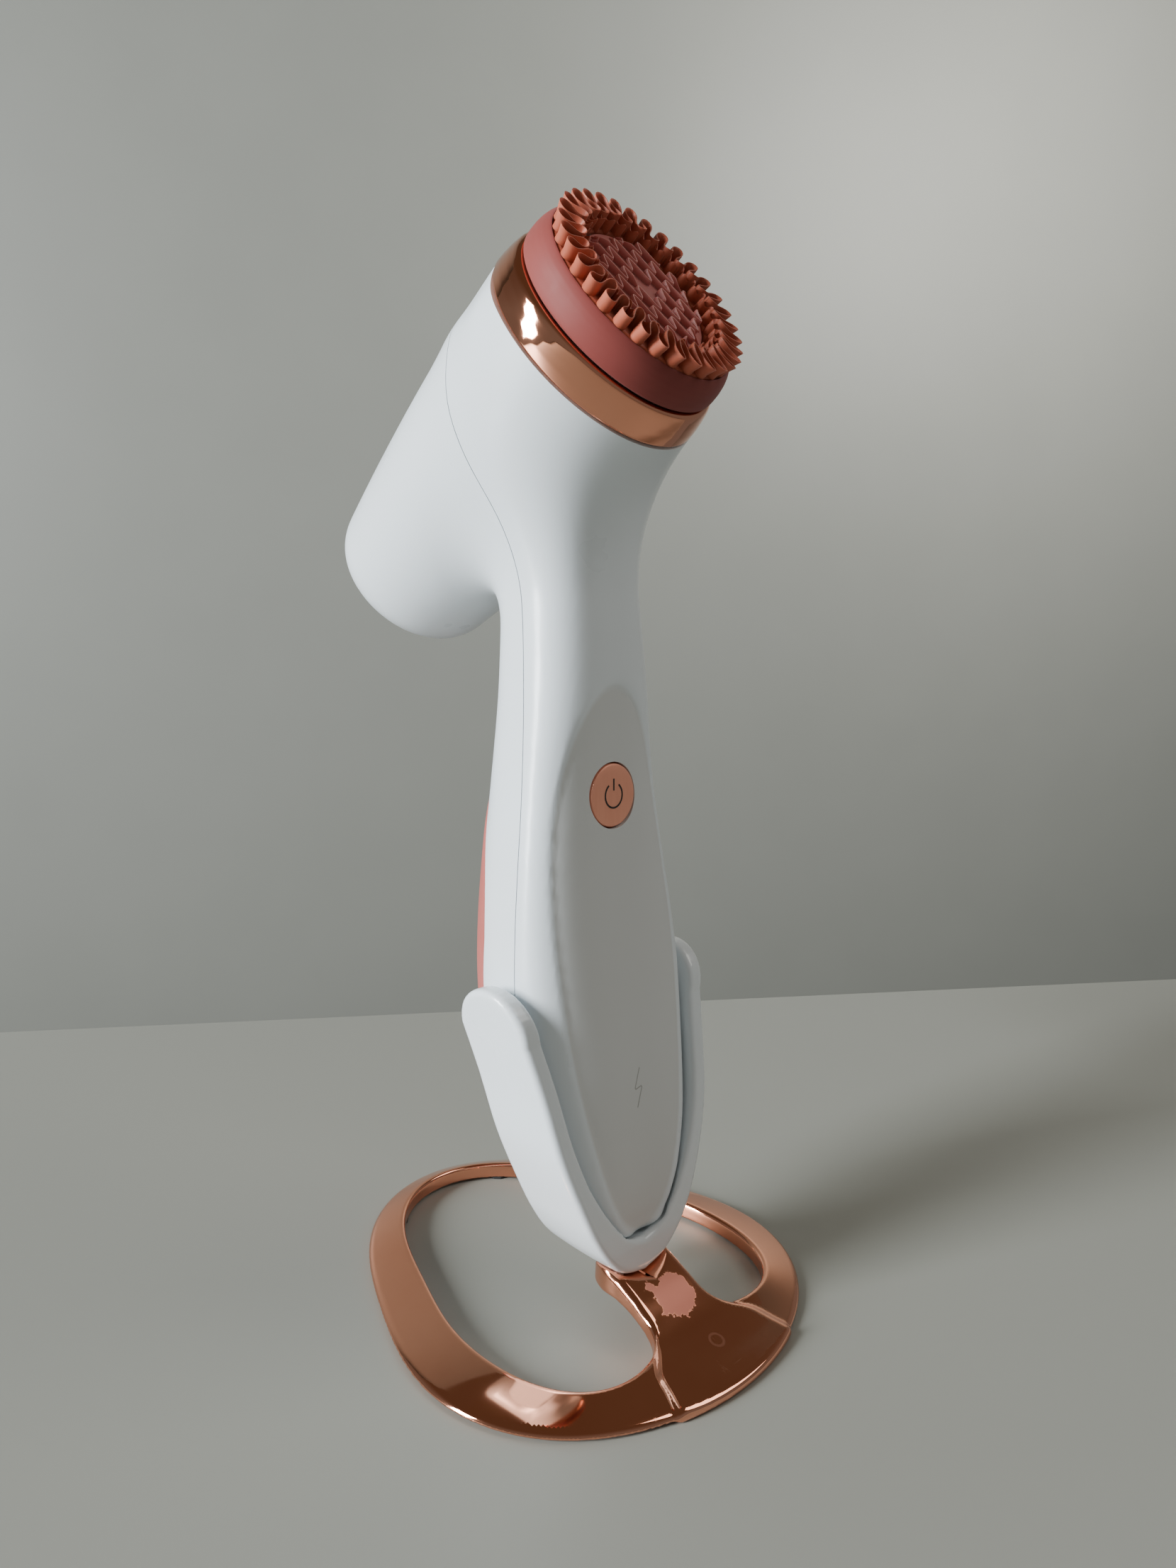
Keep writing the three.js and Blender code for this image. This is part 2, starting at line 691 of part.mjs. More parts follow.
function outerBristleRing() {
  return turned([
    [RING_INNER, FACE_BOTTOM],
    [RING_OUTER, FACE_BOTTOM],
    [RING_OUTER, 13.9],
    [18.8, 17.0],
    [18.2, 17.5],
    [13.2, 17.2],
    [RING_INNER, 16.6],
    [RING_INNER, FACE_BOTTOM],
  ]);
}

function planetGear(index) {
  const mesh = piece(`planet_gear_${index + 1}`, wheel(TEETH.planet, 1.5), WHITE);
  const turn = pegTurn(index);
  mesh.position.set(PEG_CIRCLE * Math.cos(turn), PEG_CIRCLE * Math.sin(turn), 0);
  mesh.rotation.z = turn + Math.PI / TEETH.planet;
  return mesh;
}

function treatmentHead() {
  const gearTop = GEAR_BOTTOM + GEAR_HEIGHT;
  const sun = join(
    wheel(TEETH.sun, SHAFT_RADIUS + FIT_GAP),
    solid(tube(SHAFT_RADIUS + FIT_GAP, 2.9, gearTop - 0.2, FACE_BOTTOM - FIT_GAP)),
  );
  const planets = [...Array(PLANET_COUNT).keys()].map(planetGear);
  const bush = tube(RING_GEAR_RADIUS + FIT_GAP, RING_OUTER, GEAR_BOTTOM, FACE_BOTTOM - FIT_GAP);
  const sunMesh = piece("sun_gear", sun, WHITE);
  sunMesh.rotation.z = Math.PI / 2;
  const ringMesh = piece("ring_gear", ringGear(), WHITE);
  ringMesh.rotation.z = Math.PI / 2 + Math.PI / TEETH.ring;
  return [
    piece("head_base", headBase(), GREY),
    piece("head_collar", headCollar(), PINK),
    piece("ring_bush", bush, GREY),
    sunMesh,
    ...planets,
    ringMesh,
    piece("inner_bristle_disc", rod(DISC_RADIUS, FACE_BOTTOM, 14.1, ROUND), PALE_PINK),
    piece("outer_bristle_ring", outerBristleRing(), CORAL),
  ];
}

function headGroup() {
  const made = group(...frontEndPieces(), motorGroup(), ...treatmentHead());
  made.position.copy(HEAD_CENTRE);
  made.quaternion.copy(HEAD_TURN);
  return made;
}

function handsetGroup() {
  const outside = bodySolid(0);
  const inside = bodySolid(-WALL);
  return group(
    piece("front_shell", frontShell(outside, inside), WHITE),
    piece("back_shell", backShell(outside, inside), WHITE),
    piece("back_grip", backGrip(), PINK),
    powerButton(),
    ...SCREW_POSTS.map((_, index) => shellScrew(index)),
    boardGroup(),
    batteryGroup(),
    receiveGroup(),
    chargeLightPipe(),
    headGroup(),
  );
}

// ---------------------------------------------------------------- stand

// Side outline of the cradle band: it leans back as it rises and ends in a round tip.
function cradleSide() {
  const { from, over, back, power } = CRADLE_LEAN;
  const middle = (z) => CRADLE_FOOT_Y + back * Math.max(0, (z - from) / over) ** power;
  const half = CRADLE_DEPTH / 2;
  const heights = [6, 14, 22, 30, 38, 46, 52];
  const outline = heights.map((z) => [middle(z) - half, z]);
  const steps = 12;
  for (let i = 0; i <= steps; i += 1) {
    const turn = Math.PI * (1 - i / steps);
    const y = middle(CRADLE_TIP.z) + Math.cos(turn) * half;
    outline.push([y, CRADLE_TIP.z + Math.sin(turn) * CRADLE_TIP.up]);
  }
  outline.push(...heights.reverse().map((z) => [middle(z) + half, z]));
  return sideways(outline.reverse());
}

function mirrored(outline) {
  return [...outline, ...outline.filter(([x]) => x > 0).reverse().map(([x, z]) => [-x, z])];
}

function cradleBand() {
  const outside = frontways(mirrored(CRADLE_OUTSIDE), -60, 30).intersect(cradleSide());
  const inside = frontways(mirrored(CRADLE_FLARE), -60, 30);
  return cut(outside, inside, handleSolid(CRADLE_CLEARANCE));
}

const CRADLE_SCREW = { x: 5.2, y: -27.0, from: 8.0, length: 5.4 };
const cradleScrewSpots = [-CRADLE_SCREW.x, CRADLE_SCREW.x];

function cradleScrewSpace(grow, head) {
  return cradleScrewSpots.map((x) => {
    const { y, from, length } = CRADLE_SCREW;
    const shank = rod(SCREW_RADIUS + grow, from - 3, from + length + grow);
    const recess = rod(2 + grow, from - 4, from + head);
    const spot = new THREE.Matrix4().makeTranslation(x, y, 0);
    return join(solid(shank, spot), solid(recess, spot));
  });
}

function cradlePieces() {
  const band = cradleBand();
  const { x, front, back, floor, lid } = POCKET;
  const pocket = solid(box(-x, x, front, back, floor, 40));
  const lidSpace = solid(
    box(-x + FIT_GAP, x - FIT_GAP, front + FIT_GAP, back - FIT_GAP, lid, 40),
  );
  const bandBack = CRADLE_FOOT_Y + CRADLE_DEPTH / 2;
  const inletSpace = solid(box(-4.1, 4.1, back - 0.5, bandBack + 1, 11.5, 14.7));
  const inlet = cut(
    solid(box(-3.8, 3.8, back - 0.1, bandBack - 0.2, 11.8, 14.4)),
    solid(box(-3.2, 3.2, back + 1.2, bandBack + 1, 12.4, 13.8)),
  );
  const middleY = (front + back) / 2;
  const coil = tube(1.8, 4.1, 0, 0.7, 24);
  const spot = group(
    piece("charge_coil", coil, COPPER),
    piece("coil_ferrite", rod(4.2, -0.8, -0.3, 24), BLACK),
  );
  spot.position.set(0, middleY, lid - 1.1);
  return [
    piece("cradle_shell", cut(band, pocket, inletSpace, ...cradleScrewSpace(FIT_GAP, 0)), WHITE),
    piece("cradle_lid", band.intersect(lidSpace), WHITE),
    piece("charge_inlet", inlet, STEEL),
    piece("charger_board", box(-4.4, 4.4, front + 0.4, back - 0.6, floor + 0.3, floor + 0.7), GREEN),
    spot,
  ];
}

// A place on one of the base's outlines, moved in towards its middle.
function outlinePoint(series, turn, inset, z) {
  const radius = series.reduce((sum, size, order) => sum + size * Math.cos(order * turn), -inset);
  return new THREE.Vector3(radius * Math.sin(turn), PLATE.y - radius * Math.cos(turn), z);
}

// The base's ring: its top slopes from the opening down to a thin outer rim.
function plateRing() {
  const { bottom, rim, top, edge } = PLATE;
  const section = (turn) => [
    outlinePoint(PLATE_OUTLINE, turn, edge, bottom),
    outlinePoint(PLATE_OUTLINE, turn, 0, bottom + edge),
    outlinePoint(PLATE_OUTLINE, turn, edge, rim),
    outlinePoint(OPENING_OUTLINE, turn, -edge, top),
    outlinePoint(OPENING_OUTLINE, turn, 0, top - edge),
    outlinePoint(OPENING_OUTLINE, turn, 0, bottom),
  ];
  const count = 56;
  const rings = [...Array(count).keys()].map((i) => section((i / count) * 2 * Math.PI));
  const points = rings.flat();
  const sides = rings[0].length;
  const faces = [];
  for (let i = 0; i < count; i += 1) {
    for (let j = 0; j < sides; j += 1) {
      const next = ((i + 1) % count) * sides;
      const [a, b] = [i * sides + j, i * sides + ((j + 1) % sides)];
      const [c, d] = [next + ((j + 1) % sides), next + j];
      faces.push(a, b, c, a, c, d);
    }
  }
  return solid(new THREE.BufferGeometry().setFromPoints(points).setIndex(faces));
}

function tongueSolid() {
  const at = smoothTable(TONGUE);
  const from = TONGUE[0][0];
  const to = TONGUE[TONGUE.length - 1][0];
  const rings = [];
  const steps = 18;
  const chamfer = 0.8;
  for (let i = 0; i <= steps; i += 1) {
    const y = from + ((to - from) * i) / steps;
    const [top, under, half] = at(y);
    const section = [
      [-half, under],
      [half, under],
      [half, top - chamfer],
      [half - chamfer, top],
      [chamfer - half, top],
      [-half, top - chamfer],
    ];
    rings.push(section.map(([x, z]) => new THREE.Vector3(x, y, z)));
  }
  return solid(loft(rings));
}

const footSpots = FOOT.y.flatMap((y, row) => [-1, 1].map((side) => [side * FOOT.x[row], y]));

function basePlate() {
  const cradle = CRADLE_OUTSIDE.map(([x, z]) => [x + (x > 0 ? FIT_GAP : 0), z - FIT_GAP]);
  const cradleSpace = frontways(mirrored(cradle), -60, 30);
  const feet = footSpots.map(([x, y]) =>
    solid(
      rod(FOOT.radius + FIT_GAP, -1, FOOT.recess + PLATE.bottom),
      new THREE.Matrix4().makeTranslation(x, y, 0),
    ),
  );
  return cut(
    join(plateRing(), cut(tongueSolid(), cradleSpace)),
    ...feet,
    ...cradleScrewSpace(FIT_GAP, FIT_GAP),
  );
}

function standGroup() {
  const feet = footSpots.map(([x, y], index) => {
    const mesh = piece(`base_foot_${index + 1}`, rod(FOOT.radius, 0, FOOT.height), BLACK);
    mesh.position.set(x, y, 0);
    return mesh;
  });
  const screws = cradleScrewSpots.map((x, index) => {
    const { y, from, length } = CRADLE_SCREW;
    const mesh = piece(`cradle_screw_${index + 1}`, screw(length, SCREW_RADIUS, 2, 1.1), STEEL);
    mesh.position.set(x, y, from + length);
    mesh.rotation.x = Math.PI;
    return mesh;
  });
  return group(piece("base_plate", basePlate(), ROSE_GOLD), ...cradlePieces(), ...feet, ...screws);
}

const whole = group(standGroup(), handsetGroup());
whole.position.y = -BOX_MIDDLE_Y;
export default whole;
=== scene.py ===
"""A facial cleansing brush in its charging stand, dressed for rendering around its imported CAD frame.

Lengths below are in millimetres in the stand's drawing frame: +Z up, -Y towards the button,
mirrored about x = 0. They become metres in the shared frame when a mesh is made.
"""

import math

import bmesh
import bpy
import numpy as np
from mathutils import Matrix, Vector
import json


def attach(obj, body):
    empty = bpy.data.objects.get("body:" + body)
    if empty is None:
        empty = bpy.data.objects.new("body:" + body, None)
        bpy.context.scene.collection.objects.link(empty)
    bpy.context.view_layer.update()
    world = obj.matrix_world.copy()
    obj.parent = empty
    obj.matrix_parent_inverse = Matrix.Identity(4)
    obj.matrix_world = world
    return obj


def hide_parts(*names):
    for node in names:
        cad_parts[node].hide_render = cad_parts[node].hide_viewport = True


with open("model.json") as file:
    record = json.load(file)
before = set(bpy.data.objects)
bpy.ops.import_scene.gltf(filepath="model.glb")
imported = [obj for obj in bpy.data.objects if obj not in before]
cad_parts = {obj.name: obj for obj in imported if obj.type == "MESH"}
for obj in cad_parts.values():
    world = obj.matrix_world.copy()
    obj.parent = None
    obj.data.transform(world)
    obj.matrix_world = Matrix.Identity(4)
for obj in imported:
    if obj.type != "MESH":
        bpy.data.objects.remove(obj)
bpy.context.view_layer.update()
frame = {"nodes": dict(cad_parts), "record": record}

MM = 0.001
DATUM = np.array([0.0, -0.5, 0.0])  # the drawing frame's origin in the shared frame
GRID_COARSENING = 1.0

# ------------------------------------------------------------------ driving dimensions

# Handle stations: height, half width, front, seam, back.
HANDLE = np.array([
    [16.4, 3.2, -27.0, -22.0, -18.0],
    [17.4, 5.8, -27.9, -21.0, -15.2],
    [20.0, 8.6, -28.2, -19.6, -11.6],
    [25.0, 12.2, -28.1, -18.0, -6.8],
    [30.0, 14.6, -27.6, -16.5, -2.8],
    [36.0, 16.8, -26.8, -15.2, 1.4],
    [43.0, 18.4, -25.6, -14.2, 5.4],
    [52.0, 19.7, -23.9, -13.2, 8.3],
    [63.0, 20.4, -21.6, -12.0, 9.8],
    [74.0, 19.7, -19.2, -10.6, 10.6],
    [85.0, 18.3, -16.9, -9.1, 10.9],
    [98.0, 16.4, -14.9, -7.3, 10.8],
    [118.0, 14.2, -13.7, -4.3, 10.4],
    [133.0, 13.2, -11.6, -1.8, 11.2],
    [145.0, 12.8, -9.6, 1.2, 12.6],
    [165.0, 12.0, -5.0, 6.0, 15.0],
])
FRONT_POWER, BACK_POWER = 2.7, 2.2  # superellipse powers of the two halves
FRONT_SQUARER_BY, FRONT_SQUARER_OVER = 3.3, 45.0  # the front's lower end is fuller
HANDLE_BOTTOM = 16.2
WALL = 1.8
SEAM_GAP = 0.2
FIT_GAP = 0.3

HEAD_TILT = math.radians(38.75)
HEAD_AXIS = np.array([0.0, -math.cos(HEAD_TILT), math.sin(HEAD_TILT)])
HEAD_UP = np.array([0.0, math.sin(HEAD_TILT), math.cos(HEAD_TILT)])
HEAD_CENTRE = np.array([0.0, -5.1, 177.5])
HEAD_RADIUS = 22.3
POD_LENGTH = 69.2
POD_LOSS, POD_OVER, POD_POWER = 5.3, 65.0, 1.7
POD_ROUNDING = 7.3
NECK_BLEND_FRONT = 17.0
NECK_BLEND_BACK = 13.0
SHELL_FRONT = -0.35
SEAM_OVER_HEAD = [[2.0, 147], [6.4, 157], [9.8, 166], [12.4, 176], [16.5, 186], [19.5, 192]]

PANEL_Z, PANEL_HALF_WIDTH, PANEL_UP, PANEL_DOWN, PANEL_DEPTH = 72.0, 15.7, 46.5, 55.0, 0.5
GRIP_Z, GRIP_HALF_WIDTH, GRIP_UP, GRIP_DOWN = 64.0, 18.5, 38.0, 31.0
GRIP_FRONT, GRIP_PROUD, GRIP_DEPTH = -1.9, 0.35, 1.7
BUTTON = np.array([0.0, -14.6, 98.3])
BUTTON_TILT = math.radians(4.2)
BUTTON_RADIUS = 5.9

CRADLE_OUTSIDE = [[27.0, 76], [26.9, 70], [26.2, 64.3], [24.8, 57.5], [23.0, 48.8], [20.6, 36.8],
                  [17.0, 27.0], [14.2, 21.0], [10.2, 15.1], [5.6, 11.2], [0, 9.6]]
CRADLE_THICK, CRADLE_FOOT_THICK = 4.1, 6.8
CRADLE_FOOT_Y, CRADLE_HALF_DEPTH = -20.8, 8.7
CRADLE_TIP_Z, CRADLE_TIP_UP = 57.0, 8.6

PLATE_Y = -18.2
PLATE_OUTLINE = [43.1, -6.5, 1.2, -3.0, 1.0]
OPENING_OUTLINE = [33.2, -9.1, 0.5, -5.4, -0.3, -1.1]
PLATE_BOTTOM, PLATE_RIM, PLATE_TOP = 0.5, 1.9, 4.1
TONGUE = np.array([
    [-55.0, 1.0, 0.5, 17.0],
    [-51.0, 2.1, 0.5, 16.0],
    [-48.0, 2.9, 0.5, 14.8],
    [-44.5, 3.9, 0.5, 13.4],
    [-41.0, 5.0, 1.2, 10.2],
    [-38.0, 6.4, 2.8, 8.4],
    [-33.5, 8.8, 5.2, 7.8],
    [-29.0, 10.9, 6.6, 7.7],
    [-25.0, 12.4, 6.9, 7.6],
    [-22.0, 12.6, 6.9, 6.2],
    [-20.0, 12.6, 6.9, 5.0],
])

BAND_LENGTH = 6.3
FACE_BOTTOM = 11.9
DISC_RADIUS = 13.0
RING_INNER, RING_OUTER = 13.5, 19.0
LOOPS, INNER_LOOPS, LOOP_SWING = 32, 30, 1.86
RIDGE_PITCH = 4.3


# ------------------------------------------------------------------ implicit shapes

def smooth_table(table, place):
    """Every column after the first, read smoothly at the places given."""
    at = table[:, 0]
    values = table[:, 1:]
    slopes = np.gradient(values, at, axis=0)
    place = np.clip(place, at[0], at[-1])
    i = np.clip(np.searchsorted(at, place) - 1, 0, len(at) - 2)
    width = (at[i + 1] - at[i])[:, None]
    t = ((place - at[i]) / width[:, 0])[:, None]
    a, b, da, db = values[i], values[i + 1], slopes[i] * width, slopes[i + 1] * width
    cubic = (2 * t**3 - 3 * t**2 + 1) * a + (t**3 - 2 * t**2 + t) * da
    return (cubic + (3 * t**2 - 2 * t**3) * b + (t**3 - t**2) * db).T


def soft_min(a, b, reach):
    h = np.maximum(reach - np.abs(a - b), 0) / reach
    return np.minimum(a, b) - h * h * reach / 4


def soft_max(a, b, reach):
    return -soft_min(-a, -b, reach)


def section_distance(x, y, half_width, reach, power):
    """Distance past a superellipse, measured along the ray from its middle."""
    size = ((np.abs(x) / half_width) ** power + (np.abs(y) / reach) ** power) ** (1 / power)
    ray = np.hypot(x, y)
    return np.where(size > 1e-6, (size - 1) * ray / np.maximum(size, 1e-6), -half_width)


def handle_field(p):
    """The handle alone: a stack of superellipses from the HANDLE table, closed at the bottom."""
    half_width, front, seam, back = smooth_table(HANDLE, p[:, 2])
    y = p[:, 1] - seam
    low = np.maximum(0, 1 - (p[:, 2] - HANDLE[0, 0]) / FRONT_SQUARER_OVER)
    power = FRONT_POWER + FRONT_SQUARER_BY * np.minimum(low, 1) ** 2
    ahead = section_distance(p[:, 0], y, half_width, seam - front, power)
    behind = section_distance(p[:, 0], y, half_width, back - seam, BACK_POWER)
    side = np.where(y < 0, ahead, behind)
    return soft_max(side, HANDLE_BOTTOM - p[:, 2], 2.0)


def head_place(p):
    """Distance along the head's axis, and distance from it."""
    q = p - HEAD_CENTRE
    along = q @ HEAD_AXIS
    return along, np.hypot(q[:, 0], q @ HEAD_UP)


def head_field(p):
    """The head and the motor pod behind it: a round bar that tapers to a rounded end."""
    along, radius = head_place(p)
    wall = HEAD_RADIUS - POD_LOSS * np.maximum(0, -along / POD_OVER) ** POD_POWER
    return soft_max(radius - wall, -POD_LENGTH - along, POD_ROUNDING)


def body_field(p):
    """The handset's outer skin: handle and head run into each other in a soft fillet."""
    handle = soft_max(handle_field(p), p[:, 2] - 172, 4.0)
    seam = smooth_table(HANDLE, p[:, 2])[2]
    back = np.clip((p[:, 1] - seam + 4) / 8, 0, 1)
    reach = NECK_BLEND_FRONT + (NECK_BLEND_BACK - NECK_BLEND_FRONT) * back * back * (3 - 2 * back)
    return soft_min(handle, head_field(p), reach)


def oval_distance(x, z, middle, half_width, up, down):
    """Distance past an oval seen from the front, with its own height above and below the middle."""
    height = np.where(z > middle, up, down)
    size = np.hypot(x / half_width, (z - middle) / height)
    slope = np.hypot(x / half_width**2, (z - middle) / height**2) / np.maximum(size, 1e-6)
    return (size - 1) / np.maximum(slope, 1e-6)


def dished_body_field(p):
    """The outer skin with the shallow oval panel sunk into its front."""
    oval = oval_distance(p[:, 0], p[:, 2], PANEL_Z, PANEL_HALF_WIDTH, PANEL_UP, PANEL_DOWN)
    inside = np.clip(0.5 - oval / 1.5, 0, 1)
    inside = inside * inside * (3 - 2 * inside)
    seam = smooth_table(HANDLE, p[:, 2])[2]
    return body_field(p) + PANEL_DEPTH * inside * (p[:, 1] < seam - 2)


def outline_distance(outline, a, b):
    """Signed distance to a closed outline, negative inside it."""
    start = np.array(outline, float)
    end = np.roll(start, -1, axis=0)
    best = np.full(len(a), 1e9)
    inside = np.zeros(len(a), bool)
    for (a0, b0), (a1, b1) in zip(start, end):
        da, db = a1 - a0, b1 - b0
        length = max(da * da + db * db, 1e-12)
        t = np.clip(((a - a0) * da + (b - b0) * db) / length, 0, 1)
        best = np.minimum(best, np.hypot(a - a0 - t * da, b - b0 - t * db))
        if db != 0:
            crosses = (b0 > b) != (b1 > b)
            inside ^= crosses & (a < a0 + (b - b0) * da / db)
    return np.where(inside, -best, best)


def smooth_outline(points, per_span=8):
    """A finer open outline through the points, by a centripetal-looking cubic."""
    points = np.array(points, float)
    steps = np.hypot(*np.diff(points, axis=0).T)
    at = np.concatenate([[0], np.cumsum(steps)])
    fine = np.concatenate([np.linspace(at[i], at[i + 1], per_span, endpoint=False)
                           for i in range(len(at) - 1)] + [[at[-1]]])
    return np.array(smooth_table(np.column_stack([at, points]), fine)).T


def both_sides(points):
    """A smooth outline through the points, closed by its mirror image."""
    half = smooth_outline(points)
    return np.concatenate([half, half[::-1][1:] * [-1, 1]])


def cradle_middle(z):
    """The cradle band's middle, front to back, which leans back as it rises."""
    return CRADLE_FOOT_Y + 10.5 * (np.maximum(0, (z - 12) / 47)) ** 1.6


def cradle_side_outline():
    """The cradle seen from the side: a leaning strip with a round tip."""
    heights = np.linspace(4, 56, 14)
    turns = np.linspace(0, math.pi, 22)
    tip_y = cradle_middle(CRADLE_TIP_Z) - np.cos(turns) * CRADLE_HALF_DEPTH
    tip_z = CRADLE_TIP_Z + np.sin(turns) * CRADLE_TIP_UP
    front = np.column_stack([cradle_middle(heights) - CRADLE_HALF_DEPTH, heights])
    back = np.column_stack([cradle_middle(heights) + CRADLE_HALF_DEPTH, heights])
    return np.concatenate([front, np.column_stack([tip_y, tip_z]), back[::-1]])


def cradle_outside_distance(p):
    """Distance past the band's outer face, which bulges a little at mid depth."""
    outline = both_sides(CRADLE_OUTSIDE)
    off = (p[:, 1] - cradle_middle(p[:, 2])) / CRADLE_HALF_DEPTH
    return outline_distance(outline, p[:, 0], p[:, 2]) + 0.3 * off * off - 0.3


def cradle_field(p):
    """The U-shaped band with the handset's shape, and a little room, taken out of it."""
    outside = cradle_outside_distance(p)
    side = outline_distance(cradle_side_outline(), p[:, 1], p[:, 2])
    low = np.clip((32 - p[:, 2]) / 18, 0, 1)
    thickness = CRADLE_THICK + (CRADLE_FOOT_THICK - CRADLE_THICK) * low * low * (3 - 2 * low)
    seat = soft_min(body_field(p) - 0.5, outside + thickness, 1.0)
    edge = soft_max(outside, side, 1.5)
    return soft_max(edge, -seat, 1.2)


def ring_radius(series, turn):
    """A smooth closed outline as a radius, from a cosine series in the turn."""
    return sum(size * np.cos(order * turn) for order, size in enumerate(series))


def base_field(p):
    """The sloping ring, its opening, and the tongue that swells up to carry the cradle."""
    x, y = p[:, 0], p[:, 1] - PLATE_Y
    turn = np.arctan2(x, -y)
    radius = np.hypot(x, y)
    outer = ring_radius(PLATE_OUTLINE, turn)
    inner = ring_radius(OPENING_OUTLINE, turn)
    across = np.clip((radius - inner) / (outer - inner), -0.2, 1.2)
    top = PLATE_TOP + (PLATE_RIM - PLATE_TOP) * across - 0.5 * across * across
    plate = soft_max(radius - outer, inner - radius, 0.8)
    plate = soft_max(plate * 0.97, p[:, 2] - top, 1.3)
    plate = soft_max(plate, PLATE_BOTTOM - p[:, 2], 0.5)
    t_top, t_under, t_half = smooth_table(TONGUE, p[:, 1])
    tongue = soft_max(np.abs(x) - t_half, p[:, 2] - t_top, 1.6)
    tongue = soft_max(tongue, t_under - p[:, 2], 0.8)
    tongue = soft_max(tongue, p[:, 1] + 21, 2.0)
    tongue = soft_max(tongue, radius - outer, 0.8)
    tongue = soft_max(tongue, FIT_GAP - cradle_outside_distance(p), 0.4)
    return soft_min(plate, tongue, 1.6)


def grip_field(p):
    """The back grip: an oval pad that follows the skin, a little proud of it."""
    oval = oval_distance(p[:, 0], p[:, 2], GRIP_Z, GRIP_HALF_WIDTH, GRIP_UP, GRIP_DOWN)
    skin = body_field(p)
    pad = np.maximum(skin - GRIP_PROUD, -GRIP_DEPTH - skin)
    return soft_max(soft_max(pad, oval, 0.7), GRIP_FRONT - p[:, 1], 0.7)


# ------------------------------------------------------------------ meshes from implicit shapes

def slope_of(field, p, step=0.05):
    grown = [field(p + d) - field(p - d) for d in np.eye(3) * step]
    return np.array(grown).T / (2 * step)


def settle(field, p, rounds=4, most=0.6):
    """Moves points along the field's slope until they lie on its zero."""
    for _ in range(rounds):
        slope = slope_of(field, p)
        size = np.maximum((slope**2).sum(1), 1e-4)
        move = (field(p) / size)[:, None] * slope
        length = np.linalg.norm(move, axis=1)[:, None]
        p = p - move * np.minimum(1, most / np.maximum(length, 1e-9))
    return p


def surface_of(field, low, high, step):
    """Points and quads of the field's zero surface, one point for each cell that it crosses."""
    axes = [np.arange(a, b + step, step) for a, b in zip(low, high)]
    grid = np.stack(np.meshgrid(*axes, indexing="ij"), -1)
    shape = grid.shape[:3]
    flat = grid.reshape(-1, 3)
    values = np.concatenate([field(part) for part in np.array_split(flat, 1 + len(flat) // 400000)])
    values = values.reshape(shape)
    cells = tuple(n - 1 for n in shape)
    total = np.zeros(cells + (3,))
    count = np.zeros(cells)
    for axis in range(3):
        near = [slice(None)] * 3
        far = [slice(None)] * 3
        near[axis], far[axis] = slice(0, -1), slice(1, None)
        a, b = values[tuple(near)], values[tuple(far)]
        crosses = (a < 0) != (b < 0)
        t = np.where(crosses, a / np.where(crosses, a - b, 1), 0)
        spot = grid[tuple(near)] + t[..., None] * (grid[tuple(far)] - grid[tuple(near)])
        others = [i for i in range(3) if i != axis]
        for u in (0, 1):
            for v in (0, 1):
                pick = [slice(None)] * 3
                pick[others[0]] = slice(u, shape[others[0]] - 1 + u)
                pick[others[1]] = slice(v, shape[others[1]] - 1 + v)
                total += np.where(crosses[tuple(pick)][..., None], spot[tuple(pick)], 0)
                count += crosses[tuple(pick)]
    live = count > 0
    number = np.full(cells, -1)
    number[live] = np.arange(live.sum())
    points = total[live] / count[live][:, None]
    quads = []
    for axis in range(3):
        near = [slice(None)] * 3
        far = [slice(None)] * 3
        near[axis], far[axis] = slice(0, -1), slice(1, None)
        a, b = values[tuple(near)] < 0, values[tuple(far)] < 0
        spots = np.argwhere(a != b)
        u, v = [(1, 2), (2, 0), (0, 1)][axis]
        spots = spots[(spots[:, u] > 0) & (spots[:, v] > 0)
                      & (spots[:, u] < cells[u]) & (spots[:, v] < cells[v])]
        leaving = a[tuple(spots.T)]
        corners = []
        for du, dv in ((1, 1), (0, 1), (0, 0), (1, 0)):
            cell = spots.copy()
            cell[:, u] -= du
            cell[:, v] -= dv
            corners.append(number[tuple(cell.T)])
        quad = np.array(corners).T
        quad[~leaving] = quad[~leaving][:, ::-1]
        quads.append(quad)
    return settle(field, points), np.concatenate(quads)


def make_object(name, points, faces, keep_slopes=None):
    mesh = bpy.data.meshes.new(name)
    mesh.from_pydata(((points + DATUM) * MM).tolist(), [], [list(map(int, f)) for f in faces])
    mesh.validate()
    made = bpy.data.objects.new(name, mesh)
    bpy.context.scene.collection.objects.link(made)
    mesh.shade_smooth()
    if keep_slopes is not None:
        size = np.linalg.norm(keep_slopes, axis=1)[:, None]
        mesh.normals_split_custom_set_from_vertices((keep_slopes / size).tolist())
    return made


def implicit_object(name, field, low, high, step, own_normals=True):
    points, quads = surface_of(field, low, high, step * GRID_COARSENING)
    slopes = slope_of(field, points) if own_normals else None
    return make_object(name, points, quads, slopes)


def head_point(along, radius, turn):
    """A place in the head's own frame, turn zero at +X and a quarter turn at the head's upper side."""
    across = np.cos(turn) * radius
    up = np.sin(turn) * radius
    return HEAD_CENTRE + along * HEAD_AXIS + across * np.array([1.0, 0, 0]) + up * HEAD_UP


